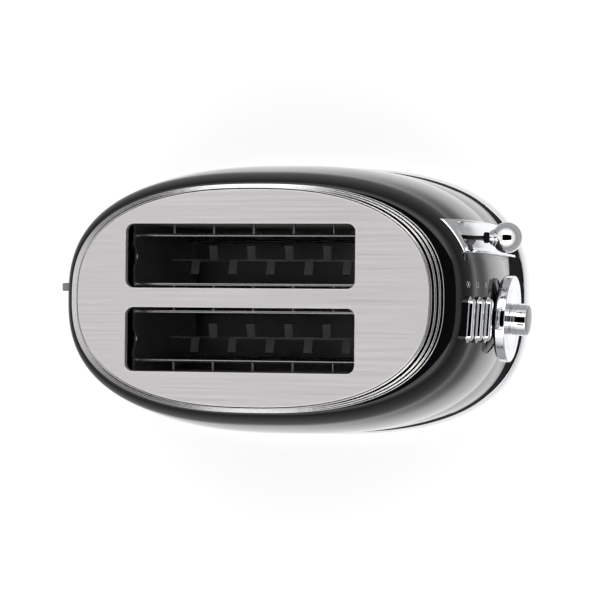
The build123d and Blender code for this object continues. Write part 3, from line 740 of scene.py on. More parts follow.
def build_brush_group():
    """Fine straight lines along X, as colour, roughness and height."""
    group, start, end = new_group(
        "Brushed lines",
        [
            ("Light", "NodeSocketColor", (0.62, 0.61, 0.6, 1.0)),
            ("Dark", "NodeSocketColor", (0.5, 0.49, 0.48, 1.0)),
            ("Roughness", "NodeSocketFloat", 0.3),
        ],
        [("Colour", "NodeSocketColor"), ("Roughness", "NodeSocketFloat"), ("Height", "NodeSocketFloat")],
    )
    lines = scaled_noise(group, 900.0, 4.0, (0.012, 1.0, 1.0)).outputs["Fac"]
    streaks = scaled_noise(group, 160.0, 2.0, (0.03, 1.0, 1.0)).outputs["Fac"]
    line_share, streak_share = 0.6, 0.4
    faint = ramp(group, streaks, 0.0, 1.0, 0.0, streak_share)
    both = math_of(group, "MULTIPLY_ADD", lines, line_share, faint)
    colour = mix_of(group, "RGBA", both, start.outputs["Dark"], start.outputs["Light"])
    change = ramp(group, lines, 0.0, 1.0, 0.75, 1.25)
    rough = math_of(group, "MULTIPLY", start.outputs["Roughness"], change)
    for source, name in ((colour, "Colour"), (rough, "Roughness"), (both, "Height")):
        group.links.new(source, end.inputs[name])
    return group


def build_grain_group():
    """Moulded or rolled grain: colour change, roughness change and height."""
    group, start, end = new_group(
        "Fine grain",
        [
            ("Colour", "NodeSocketColor", (0.1, 0.1, 0.1, 1.0)),
            ("Change", "NodeSocketFloat", 0.2),
            ("Scale", "NodeSocketFloat", 400.0),
            ("Roughness", "NodeSocketFloat", 0.5),
        ],
        [("Colour", "NodeSocketColor"), ("Roughness", "NodeSocketFloat"), ("Height", "NodeSocketFloat")],
    )
    noise = scaled_noise(group, 400.0, 4.0)
    group.links.new(start.outputs["Scale"], noise.inputs["Scale"])
    grain = noise.outputs["Fac"]
    patches = scaled_noise(group, 30.0, 3.0).outputs["Fac"]
    amount = math_of(group, "MULTIPLY", ramp(group, patches, 0.0, 1.0, -1.0, 1.0), start.outputs["Change"])
    tint = node_in(group, "ShaderNodeVectorMath", operation="SCALE")
    group.links.new(start.outputs["Colour"], tint.inputs[0])
    group.links.new(math_of(group, "ADD", amount, 1.0), tint.inputs["Scale"])
    change = ramp(group, grain, 0.0, 1.0, 0.85, 1.15)
    rough = math_of(group, "MULTIPLY", start.outputs["Roughness"], change)
    for source, name in ((tint.outputs["Vector"], "Colour"), (rough, "Roughness"), (grain, "Height")):
        group.links.new(source, end.inputs[name])
    return group


def effect(tree, name, builder, **values):
    """Places a shared effect in a material, building it once."""
    group = bpy.data.node_groups.get(name) or builder()
    node = tree.nodes.new("ShaderNodeGroup")
    node.node_tree = group
    for label, value in values.items():
        node.inputs[label].default_value = value
    return node


def bump_from(tree, height, strength, distance):
    bump = tree.nodes.new("ShaderNodeBump")
    bump.inputs["Strength"].default_value = strength
    bump.inputs["Distance"].default_value = distance
    tree.links.new(height, bump.inputs["Height"])
    return bump.outputs["Normal"]


def blank_material(name):
    material = bpy.data.materials.new(name)
    material.use_nodes = True
    tree = material.node_tree
    return material, tree, tree.nodes["Principled BSDF"]


def backdrop_rays(tree):
    """1 where a ray comes from the camera or from metal or glass, so that both show the backdrop."""
    path = tree.nodes.new("ShaderNodeLightPath")
    both = math_of(tree, "ADD", path.outputs["Is Camera Ray"], path.outputs["Is Glossy Ray"])
    return math_of(tree, "ADD", both, path.outputs["Is Transmission Ray"], clamp=True)


def with_alpha(colour):
    return tuple(colour) + (1.0,)


def gloss_shell_finish(colours):
    material, tree, shader = blank_material("Gloss black shell")
    shader.inputs["Base Color"].default_value = with_alpha(colours.shell)
    shader.inputs["Specular IOR Level"].default_value = 0.42
    smudge = effect(tree, "Handled surface", build_smudge_group, Clean=0.03, Smudged=0.06)
    tree.links.new(smudge.outputs["Roughness"], shader.inputs["Roughness"])
    ripple = scaled_noise(tree, 60.0, 1.0)
    normal = bump_from(tree, ripple.outputs["Fac"], 0.02, 0.5 * MM)
    tree.links.new(normal, shader.inputs["Normal"])
    return material


def chrome_finish(name, colour, clean=0.03, smudged=0.08):
    material, tree, shader = blank_material(name)
    shader.inputs["Base Color"].default_value = with_alpha(colour)
    shader.inputs["Metallic"].default_value = 1.0
    smudge = effect(tree, "Handled surface", build_smudge_group, Clean=clean, Smudged=smudged)
    tree.links.new(smudge.outputs["Roughness"], shader.inputs["Roughness"])
    return material


def brushed_finish(name, colour, roughness):
    material, tree, shader = blank_material(name)
    shader.inputs["Metallic"].default_value = 1.0
    light = with_alpha(colour)
    dark = with_alpha([value * 0.97 for value in colour])
    brush = effect(tree, "Brushed lines", build_brush_group, Light=light, Dark=dark, Roughness=roughness)
    tree.links.new(brush.outputs["Colour"], shader.inputs["Base Color"])
    tree.links.new(brush.outputs["Roughness"], shader.inputs["Roughness"])
    tree.links.new(bump_from(tree, brush.outputs["Height"], 0.005, 0.05 * MM), shader.inputs["Normal"])
    return material


def grained_finish(
    name, colour, roughness, metallic=0.0, change=0.2, scale=400.0, bump=0.1, coat=0.0, gloss=0.5
):
    material, tree, shader = blank_material(name)
    shader.inputs["Specular IOR Level"].default_value = gloss
    shader.inputs["Metallic"].default_value = metallic
    shader.inputs["Coat Weight"].default_value = coat
    grain = effect(
        tree,
        "Fine grain",
        build_grain_group,
        Colour=with_alpha(colour),
        Change=change,
        Scale=scale,
        Roughness=roughness,
    )
    tree.links.new(grain.outputs["Colour"], shader.inputs["Base Color"])
    tree.links.new(grain.outputs["Roughness"], shader.inputs["Roughness"])
    tree.links.new(bump_from(tree, grain.outputs["Height"], bump, 0.1 * MM), shader.inputs["Normal"])
    return material


class FinishesOperator(bpy.types.Operator):
    """Makes every finish and gives the carried-over pieces theirs"""

    bl_idname = "toaster.finishes"
    bl_label = "Make the finishes"

    def execute(self, context):
        colours = context.scene.toaster_finishes
        gloss_shell_finish(colours)
        chrome_finish("Bright chrome", colours.chrome)
        chrome_finish("Soft chrome", (0.84, 0.83, 0.82), 0.08, 0.12)
        chrome_finish("Wire chrome", (0.3, 0.3, 0.31), 0.2, 0.35)
        brushed_finish("Brushed top steel", colours.top_steel, 0.5)
        grained_finish("Satin black", colours.band, 0.7, bump=0.05, gloss=0.05)
        grained_finish("Painted black", (0.008, 0.008, 0.008), 0.3)
        grained_finish("Foot rubber", (0.02, 0.02, 0.02), 0.8, bump=0.3)
        grained_finish("Grey plastic", (0.28, 0.28, 0.29), 0.45)
        grained_finish("Satin metal", (0.42, 0.42, 0.43), 0.35, metallic=1.0)
        grained_finish("Sheet steel", colours.sheet_steel, 0.34, metallic=1.0, change=0.15)
        grained_finish("Reflector sheet", (0.5, 0.5, 0.5), 0.3, metallic=1.0, change=0.1)
        grained_finish("Mica sheet", (0.16, 0.14, 0.11), 0.4, change=0.5, scale=900.0, coat=0.3)
        grained_finish("Ribbon wire", (0.2, 0.19, 0.18), 0.45, metallic=1.0)
        grained_finish("Bush brass", (0.6, 0.45, 0.18), 0.35, metallic=1.0)
        grained_finish("Coil", (0.3, 0.1, 0.04), 0.4, metallic=0.6, scale=1500.0)
        grained_finish("Board green", (0.02, 0.12, 0.05), 0.35, coat=0.5)
        grained_finish("White print", colours.print_ink, 0.5)
        grained_finish("Dark ink", (0.01, 0.01, 0.01), 0.5)
        by_slot = {
            "gloss_black": "Gloss black shell",
            "satin_black": "Satin black",
            "top_steel": "Brushed top steel",
            "bright_chrome": "Bright chrome",
            "satin_metal": "Satin metal",
            "plain_steel": "Sheet steel",
            "reflector": "Reflector sheet",
            "mica": "Mica sheet",
            "ribbon_wire": "Ribbon wire",
            "wire": "Wire chrome",
            "bush_brass": "Bush brass",
            "coil_iron": "Coil",
            "painted_black": "Painted black",
            "board_green": "Board green",
            "grey_plastic": "Grey plastic",
            "foot_rubber": "Foot rubber",
        }
        for row in frame["record"]["subparts"]:
            node = frame["nodes"][row["node"]]
            node.data.materials.clear()
            node.data.materials.append(finish_named(by_slot[row["material_slot"]]))
        return {"FINISHED"}


class ShellOperator(bpy.types.Operator):
    """Builds the gloss shell with its openings"""

    bl_idname = "toaster.shell"
    bl_label = "Build the shell"

    def execute(self, context):
        wall = Wall(context.scene.toaster_wall)
        thickness = context.scene.toaster_wall.thickness
        shoulder = wall.top - context.scene.toaster_wall.shoulder_depth
        straight_steps, shoulder_steps = 36, 20
        levels = []
        for step in range(straight_steps):
            levels.append(wall.hem + (shoulder - wall.hem) * step / straight_steps)
        for step in range(shoulder_steps + 1):
            rise = math.sin(math.pi / 2 * step / shoulder_steps)
            levels.append(shoulder + (wall.top - shoulder) * rise)
        outer, inner = [], []
        for level in levels:
            half_length = wall.half_length(level)
            half_width = wall.half_width(level)
            exponent = wall.exponent(level)
            swell = wall.front_swell(level)
            outer.append(oval_ring(half_length, half_width, exponent, level, swell))
            inner.append(
                oval_ring(half_length - thickness, half_width - thickness, exponent, level, swell)
            )
        points, faces = skin(outer + list(reversed(inner)), closed=True)
        shell = add_piece(
            "gloss_shell", points, faces, "Gloss black shell", "housing"
        )
        cut_with(shell, self.cutters(context, wall))
        self.smooth_over(shell, wall)
        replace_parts(shell, "shell")
        return {"FINISHED"}

    @staticmethod
    def cutters(context, wall):
        sizes = context.scene.toaster_buttons
        trough = context.scene.toaster_trough
        cutters = [lever_slot_cutter(trough, trough.shell_slot_half)]
        shaft_clearance = 0.4 * MM
        bezel_clearance = 0.2 * MM
        shaft_radius = span_of("dial_shaft").z / 2 + shaft_clearance
        cutters.append(panel_cutter(panel_place(DIAL_CENTRE), circle_ring(shaft_radius)))
        outline = rounded_box_ring(
            sizes.length + bezel_clearance, sizes.height + bezel_clearance, sizes.height / 2
        )
        for index in range(BUTTON_COUNT):
            cutters.append(panel_cutter(button_place(sizes, wall, index), outline))
        return cutters

    @staticmethod
    def smooth_over(shell, wall):
        """Shades the outer face by the wall's own formula, so that the cuts leave no marks."""
        outward = 0.9
        mesh = shell.data
        normals = [Vector()] * len(mesh.loops)
        for face in mesh.polygons:
            out = wall.normal(face.center.x - BODY_X, face.center.y, face.center.z)
            if face.normal.dot(out) < outward:
                continue
            for corner in face.loop_indices:
                point = mesh.vertices[mesh.loops[corner].vertex_index].co
                normals[corner] = wall.normal(point.x - BODY_X, point.y, point.z)
        mesh.normals_split_custom_set(normals)


def button_place(sizes, wall, index):
    """Placing matrix of a button, with its origin on the wall."""
    level = sizes.level_one - sizes.pitch * index
    foot = Vector((wall.x_at(sizes.side, level) + BODY_X, sizes.side, level))
    return panel_place(foot)


class RimOperator(bpy.types.Operator):
    """Builds the stepped bright rim round the top plate"""

    bl_idname = "toaster.rim"
    bl_label = "Build the rim"

    def execute(self, context):
        span = span_of("top_rim")
        low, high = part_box("top_rim")
        plate = span_of("top_plate")
        half_length = span.x / 2
        half_width = span.y / 2
        plate_gap = 0.15 * MM
        lip = 0.7 * MM
        crown_inset = half_length - plate.x / 2 - plate_gap - lip
        crown_inset_width = half_width - plate.y / 2 - plate_gap - lip
        share = crown_inset_width / crown_inset
        steps = 3
        rise = (high.z - low.z) / (steps + 1)
        tread = crown_inset / steps
        edge_radius = 0.55 * MM
        foot_radius = 0.3 * MM
        lip_radius = 0.25 * MM
        seat_level = high.z - 1.3 * MM
        corners = [(0.0, low.z, 0.0)]
        for step in range(steps):
            level = low.z + rise * (step + 1)
            corners.append((tread * step, level, edge_radius))
            corners.append((tread * (step + 1), level, foot_radius))
        corners.append((crown_inset, high.z, foot_radius))
        inner = crown_inset + lip
        ledge = inner + 4.5 * MM
        corners.append((inner, high.z, lip_radius))
        corners.append((inner, seat_level, 0.0))
        corners.append((ledge, seat_level, 0.0))
        corners.append((ledge, low.z, 0.0))
        outer_exponent, inner_exponent = 2.5, 2.45
        crown_start = crown_inset * 0.9
        rings = []
        for inset, height in rounded_profile(corners):
            exponent = outer_exponent if inset < crown_start else inner_exponent
            rings.append(oval_ring(half_length - inset, half_width - inset * share, exponent, height))
        points, faces = skin(rings, closed=True)
        rim = add_piece(
            "bright_rim", points, faces, "Soft chrome", "housing", 60.0
        )
        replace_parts(rim, "top_rim")
        return {"FINISHED"}


class BaseRingOperator(bpy.types.Operator):
    """Builds the bright ring at the base"""

    bl_idname = "toaster.base_ring"
    bl_label = "Build the base ring"

    def execute(self, context):
        low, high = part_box("base_ring")
        end_margin, side_margin = 0.15 * MM, 0.05 * MM
        half_length = (high.x - low.x) / 2 - end_margin
        half_width = (high.y - low.y) / 2 - side_margin
        wall = 7 * MM
        exponent = 2.7
        side_share = 0.7
        corners = (
            (1.3 * MM, low.z, 0.0),
            (0.0, low.z + 2.6 * MM, 3.0 * MM),
            (0.1 * MM, high.z - 4.0 * MM, 4.0 * MM),
            (2.9 * MM, high.z - 0.1 * MM, 0.8 * MM),
            (wall, high.z, 0.3 * MM),
            (wall, low.z, 0.0),
        )
        rings = []
        for inset, height in rounded_profile(corners, steps=8):
            half_across = half_width - inset * side_share
            rings.append(oval_ring(half_length - inset, half_across, exponent, height))
        points, faces = skin(rings, closed=True)
        ring = add_piece(
            "bright_base_ring", points, faces, "Bright chrome", "housing"
        )
        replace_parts(ring, "base_ring")
        return {"FINISHED"}


class TroughOperator(bpy.types.Operator):
    """Builds the bright trough that the lever runs down"""

    bl_idname = "toaster.trough"
    bl_label = "Build the lever's trough"

    def execute(self, context):
        wall = Wall(context.scene.toaster_wall)
        sizes = context.scene.toaster_trough
        rows = 120
        rings = []
        for row in range(rows + 1):
            share = 0.5 - 0.5 * math.cos(math.pi * row / rows)
            level = sizes.bottom + (sizes.top - sizes.bottom) * share
            ring = []
            for y, offset in self.section(sizes, level):
                ring.append(Vector((wall.x_at(y, level, offset), y, level)))
            rings.append(ring)
        points, faces = skin(rings, capped=True)
        sharp = 35.0
        trough = add_piece(
            "bright_trough", points, faces, "Bright chrome", "housing", sharp
        )
        cut_with(trough, [lever_slot_cutter(sizes, sizes.slot_half)])
        trough.data.shade_smooth()
        trough.data.set_sharp_from_angle(angle=math.radians(sharp))
        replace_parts(trough, "lever_surround")
        return {"FINISHED"}

    @staticmethod
    def section(sizes, level):
        """Outline at one height, as (sideways place, distance off the wall) pairs."""
        roll_depth = 1.2 * MM
        near_end = min(level - sizes.bottom, sizes.top - level)
        roll = 0.0
        if near_end < roll_depth:
            share = 1.0 - near_end / roll_depth
            roll = roll_depth * (1.0 - math.sqrt(1.0 - share * share))
        bank = (level - (sizes.top - sizes.end_rim - sizes.end_slope)) / sizes.end_slope
        end_bank = min(max(bank, 0.0), 1.0) ** 2
        run = min(max((sizes.top - level) / sizes.tip_length, 0.0), 1.0)
        thin = run * run * (3.0 - 2.0 * run)
        proud = sizes.tip_proud + (sizes.proud - sizes.tip_proud) * thin
        tip_floor = 0.35
        floor_proud = sizes.floor_proud * (tip_floor + (1.0 - tip_floor) * thin)
        rise = proud - floor_proud
        left_curve, right_curve = 1.6, 2
        soft = 0.55 * MM
        round_steps = 6
        columns = 48
        under_steps = 14
        outline = [(sizes.right, sizes.seat_gap)]
        for step in range(round_steps + 1):
            angle = math.pi / 2 * step / round_steps
            y = sizes.right + soft * (1.0 - math.cos(angle))
            outline.append((y, max(proud - roll - soft * (1.0 - math.sin(angle)), sizes.seat_gap)))
        near = sizes.right + sizes.rim
        far = sizes.left - sizes.rim
        for step in range(columns + 1):
            y = near + (far - near) * (0.5 - 0.5 * math.cos(math.pi * step / columns))
            right_bank = min(max(1.0 - (y - near) / sizes.right_slope, 0.0), 1.0) ** right_curve
            left_bank = min(max(1.0 - (far - y) / sizes.left_slope, 0.0), 1.0) ** left_curve
            bank = max(right_bank, left_bank, end_bank)
            outline.append((y, floor_proud + (rise - roll) * bank))
        for step in range(round_steps + 1):
            angle = math.pi / 2 * step / round_steps
            y = sizes.left - soft * (1.0 - math.sin(angle))
            outline.append((y, max(proud - roll - soft * (1.0 - math.cos(angle)), sizes.seat_gap)))
        for step in range(under_steps):
            y = sizes.left + (sizes.right - sizes.left) * step / under_steps
            outline.append((y, sizes.seat_gap))
        return outline


class LeverOperator(bpy.types.Operator):
    """Builds the lever's ball, its cone and its neck"""

    bl_idname = "toaster.lever"
    bl_label = "Build the lever's knob"

    def execute(self, context):
        low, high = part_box("lever_knob")
        radius = (high.y - low.y) / 2
        middle = middle_of("lever_knob")
        centre = Vector((high.x - radius, middle.y, middle.z))
        place = forward_place(centre)
        back = low.x - centre.x
        throat = 4.0 * MM
        cone_foot, cone_head = 4.4 * MM, 6.0 * MM
        cone_length, chamfer = 3.6 * MM, 0.3 * MM
        profile = [(0.0, back), (throat, back)]
        profile.append((cone_foot, back + chamfer))
        profile.append((cone_head, back + cone_length))
        ball_start = math.acos(-0.72)
        ball_steps = 40
        for step in range(ball_steps + 1):
            angle = ball_start * (1 - step / ball_steps)
            profile.append((radius * math.sin(angle), radius * math.cos(angle)))
        knob = lathe("lever_ball", profile, place, "Bright chrome", "carriage")
        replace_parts(knob, "lever_knob")
        neck_low, neck_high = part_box("lever_neck")
        neck_radius = (neck_high.z - neck_low.z) / 2
        start_x = neck_low.x - centre.x
        end_x = neck_high.x - centre.x
        taper_length, taper = 1.4 * MM, 0.6 * MM
        corners = (
            (0.0, start_x, 0.0),
            (neck_radius, start_x, 0.8 * MM),
            (neck_radius, end_x - taper_length, 0.5 * MM),
            (neck_radius - taper, end_x, 0.0),
        )
        sleeve = rounded_profile(corners)
        neck = lathe("lever_sleeve", sleeve, place, "Satin black", "carriage")
        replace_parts(neck, "lever_neck")
        return {"FINISHED"}


class ButtonsOperator(bpy.types.Operator):
    """Builds the three push buttons and their bezels"""

    bl_idname = "toaster.buttons"
    bl_label = "Build the buttons"

    def execute(self, context):
        wall = Wall(context.scene.toaster_wall)
        sizes = context.scene.toaster_buttons
        nodes = ("defrost_button", "reheat_button", "cancel_button")
        bezels = []
        for index, node in enumerate(nodes):
            place = button_place(sizes, wall, index)
            bezels.append(self.bezel(place, sizes, index))
            self.collar(place, sizes, index)
            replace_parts(self.button(place, sizes, node), node)
        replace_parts(bezels[0], "button_bezels")
        return {"FINISHED"}

    @staticmethod
    def swept(place, sizes, corners, first_inset):
        """Points and faces of a pill-shaped piece from an (inset, height) profile."""
        rings = []
        for inset, height in rounded_profile(corners):
            inset += first_inset
            outline = rounded_box_ring(
                sizes.length - 2 * inset, sizes.height - 2 * inset, sizes.height / 2 - inset,
                CORNER_STEPS,
            )
            rings.append([place @ Vector((side, up, height)) for side, up in outline])
        return skin(rings)

    def bezel(self, place, sizes, index):
        under_lip = sizes.reach - 0.55 * MM
        edge = 0.1 * MM
        lip_radius = 0.42 * MM
        corners = (
            (edge, under_lip, 0.0),
            (edge, sizes.reach, lip_radius),
            (sizes.wall, sizes.reach, lip_radius),
            (sizes.wall, -sizes.root, 0.0),
            (sizes.wall / 2, -sizes.root, 0.0),
            (sizes.wall / 2, under_lip, 0.0),
            (edge, under_lip, 0.0),
        )
        points, faces = self.swept(place, sizes, corners, 0.0)
        return add_piece(
            f"bezel_{index + 1}", points, faces, "Bright chrome", "housing",
            shift=False,
        )

    def collar(self, place, sizes, index):
        """Dark foot of a bezel, under its bright lip."""
        top = sizes.reach - 0.6 * MM
        inner = sizes.wall / 2 - 0.05 * MM
        corners = (
            (0.0, -sizes.root, 0.0),
            (0.0, top, 0.2 * MM),
            (inner, top, 0.0),
            (inner, -sizes.root, 0.0),
            (0.0, -sizes.root, 0.0),
        )
        points, faces = self.swept(place, sizes, corners, 0.0)
        add_piece(
            f"bezel_foot_{index + 1}", points, faces, "Gloss black shell", "housing",
            shift=False,
        )

    def button(self, place, sizes, node):
        inset = sizes.wall + sizes.gap
        crown = sizes.reach + sizes.proud
        foot = sizes.reach - 5 * MM
        crown_radius = 1.9 * MM
        corners = (
            (2.4 * MM, foot, 0.0),
            (0.0, foot, 0.2 * MM),
            (0.0, crown, crown_radius),
            (sizes.height / 2 - inset - 0.2 * MM, crown, 0.0),
        )
        points, faces = self.swept(place, sizes, corners, inset)
        ring = 4 * (CORNER_STEPS + 1)
        faces.append(tuple(range(len(points) - ring, len(points))))
        faces.append(tuple(reversed(range(ring))))
        return add_piece(
            node + "_cap", points, faces, "Bright chrome", node,
            shift=False,
        )


class DialOperator(bpy.types.Operator):
    """Builds the dial: flange, grip and end cap"""

    bl_idname = "toaster.dial"
    bl_label = "Build the dial"

    def execute(self, context):
        sizes = context.scene.toaster_dial
        place = panel_place(DIAL_CENTRE)
        front = sizes.gap + sizes.depth
        ring_radius, ring_half, ring_depth = 20 * MM, 0.25 * MM, 0.35 * MM
        fine = 0.1 * MM
        face = front - 0.2 * MM
        flange = rounded_profile(
            (
                (0.0, sizes.gap, 0.0),
                (sizes.back_radius, sizes.gap, 0.3 * MM),
                (sizes.radius, sizes.gap + sizes.cone, 0.5 * MM),
                (sizes.radius, front, 0.7 * MM),
                (ring_radius + ring_half, front, fine),
                (ring_radius, front - ring_depth, fine),
                (ring_radius - ring_half, front, fine),
                (sizes.grip_radius - 1.0 * MM, face, 0.0),
                (0.0, face, 0.0),
            )
        )
        body = lathe("dial_disc", flange, place, "Bright chrome", "dial")
        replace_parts(body, "dial_flange")
        end = front + sizes.grip_reach
        bead = front + 1.4 * MM
        groove = 0.45 * MM
        waist = sizes.grip_radius - 0.6 * MM
        rim = sizes.grip_radius - 0.8 * MM
        grip = rounded_profile(
            (
                (waist, front - fine, 0.0),
                (waist, front + 0.4 * MM, fine),
                (sizes.grip_radius, front + 0.7 * MM, 0.4 * MM),
                (sizes.grip_radius, bead + 0.6 * MM, 0.3 * MM),
                (sizes.grip_radius - groove, bead + 1.0 * MM, 0.2 * MM),
                (sizes.grip_radius, bead + 1.4 * MM, 0.3 * MM),
                (sizes.grip_radius, end - 0.4 * MM, 0.5 * MM),
                (rim, end - 0.3 * MM, fine),
                (rim, end - 1.5 * MM, 0.0),
            )
        )
        turned = lathe("dial_knob", grip, place, "Bright chrome", "dial")
        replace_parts(turned, "dial_grip")
        dome = 1.2 * MM
        cap_radius = sizes.grip_radius - 0.85 * MM
        sphere = (cap_radius**2 + dome**2) / (2 * dome)
        dome_radius = cap_radius - 0.25 * MM
        dome_steps = 16
        cap = [(cap_radius, end - 1.4 * MM), (cap_radius, end - 0.35 * MM)]
        for step in range(1, dome_steps + 1):
            radius = dome_radius * (1 - step / dome_steps)
            height = end + dome - sphere + math.sqrt(sphere**2 - radius**2)
            cap.append((radius, height))
        button = lathe("dial_end_cap", cap, place, "Satin metal", "dial")
        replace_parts(button, "dial_cap")
        return {"FINISHED"}


def flat_word(word, size):
    """Points and faces of a numeral, about its own middle."""
    curve = bpy.data.curves.new("numeral", "FONT")
    curve.body = word
    curve.size = size
    curve.align_x = "CENTER"
    curve.align_y = "CENTER"
    curve.extrude = 0.04 * MM
    curve.resolution_u = 4
    holder = bpy.data.objects.new("numeral", curve)
    bpy.context.scene.collection.objects.link(holder)
    depsgraph = bpy.context.evaluated_depsgraph_get()
    mesh = bpy.data.meshes.new_from_object(holder.evaluated_get(depsgraph))
    points = [vertex.co.copy() for vertex in mesh.vertices]
    faces = [tuple(face.vertices) for face in mesh.polygons]
    bpy.data.objects.remove(holder)
    bpy.data.meshes.remove(mesh)
    return points, faces


def stroke(start, end, half):
    """Corners of a flat bar between two (side, up) points."""
    start = Vector((start[0], start[1], 0.0))
    end = Vector((end[0], end[1], 0.0))
    across = (end - start).normalized().cross(Vector((0.0, 0.0, 1.0))) * half
    return [start - across, end - across, end + across, start + across]


class MarksOperator(bpy.types.Operator):
    """Prints plain numbers on the dial, its pointer line and a small sign by each button"""

    bl_idname = "toaster.marks"
    bl_label = "Print the marks"

    def execute(self, context):
        self.numerals(context.scene.toaster_dial)
        self.pointer(context.scene.toaster_dial)
        self.signs(context)
        return {"FINISHED"}

    @staticmethod
    def numerals(sizes):
        """Numbers round the dial's skirt, read from in front of the toaster."""
        place = panel_place(DIAL_CENTRE)
        level = sizes.gap + (sizes.cone + sizes.depth) / 2
        number_turn = 27
        number_height = 5.2 * MM
        lift = 0.02 * MM
        points, faces = [], []
        for index in range(sizes.numerals):
            turn = math.radians(90 + number_turn * (index - (sizes.numerals - 1) / 2))
            flat, flat_faces = flat_word(str(sizes.numerals - index), number_height)
            start = len(points)
            for point in flat:
                angle = turn + point.x / sizes.radius
                radius = sizes.radius + lift + point.z
                spot = Vector((radius * math.cos(angle), radius * math.sin(angle), level - point.y))
                points.append(place @ spot)
            faces += [tuple(corner + start for corner in face) for face in flat_faces]
        add_piece(
            "dial_numbers", points, faces, "Dark ink", "dial", shift=False
        )

    @staticmethod
    def pointer(sizes):
        """Black line along the grip, towards the number that is set."""
        place = panel_place(DIAL_CENTRE)
        front = sizes.gap + sizes.depth
        start, end = front + 4.6 * MM, front + 8.8 * MM
        turned_by = 18
        turn = math.radians(90 + turned_by)
        half = 0.45 * MM / sizes.grip_radius
        radius = sizes.grip_radius + 0.03 * MM
        points = []
        for height in (start, end):
            for step in range(4):
                angle = turn - half + 2 * half * step / 3
                points.append(place @ Vector((radius * math.cos(angle), radius * math.sin(angle), height)))
        faces = [(step, step + 1, step + 5, step + 4) for step in range(3)]
        add_piece(
            "dial_pointer", points, faces, "Dark ink", "dial", shift=False
        )

    @staticmethod
    def signs(context):
        """A star, an open ring and a cross of thin bars, laid on the curved wall."""
        wall = Wall(context.scene.toaster_wall)
        sizes = context.scene.toaster_buttons
        reach = 2.0 * MM
        half = 0.16 * MM
        lift = 0.05 * MM
        beside = sizes.side + 21 * MM
        star = []
        for step in range(3):
            angle = math.pi * (step / 3 + 0.5)
            tip = (reach * math.cos(angle), reach * math.sin(angle))
            star.append(((-tip[0], -tip[1]), tip))
        ring = []
        whole, drawn, first_angle = 24, 20, 0.6
        ring_radius = reach * 0.85
        for step in range(drawn):
            ends = []
            for side in (step, step + 1):
                angle = 2 * math.pi * side / whole + first_angle
                ends.append((ring_radius * math.cos(angle), ring_radius * math.sin(angle)))
            ring.append(tuple(ends))
        arm = reach * 0.7
        cross = [((-arm, -arm), (arm, arm)), ((-arm, arm), (arm, -arm))]
        points, faces = [], []
        for index, bars in enumerate((star, ring, cross)):
            level = sizes.level_one - sizes.pitch * index
            for bar in bars:
                for corner in stroke(*bar, half):
                    y = beside + corner.x
                    z = level + corner.y
                    x = wall.x_at(y, z)
                    points.append(Vector((x, y, z)) + wall.normal(x, y, z) * lift)
                count = len(points)
                faces.append((count - 4, count - 3, count - 2, count - 1))
        add_piece("wall_signs", points, faces, "White print", "housing")


class RivetsOperator(bpy.types.Operator):
    """Adds the rivets that hold the oven's end plates"""

    bl_idname = "toaster.rivets"
    bl_label = "Add the rivets"

    def execute(self, context):
        plate_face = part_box("rear_end_plate")[1].x
        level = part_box("top_plate")[0].z - 22 * MM
        apart = 25.4 * MM
        radius, height = 2.4 * MM, 0.9 * MM
        steps = 8
        profile = [(radius, 0.0)]
        for step in range(steps + 1):
            angle = math.pi / 2 * step / steps
            profile.append((radius * math.cos(angle), height * math.sin(angle)))
        for index, side in enumerate((-apart, apart)):
            place = forward_place(Vector((plate_face, side, level)))
            lathe(
                f"rivet_{index + 1}", profile, place, "Sheet steel", "housing",
                segments=32,
            )
        return {"FINISHED"}


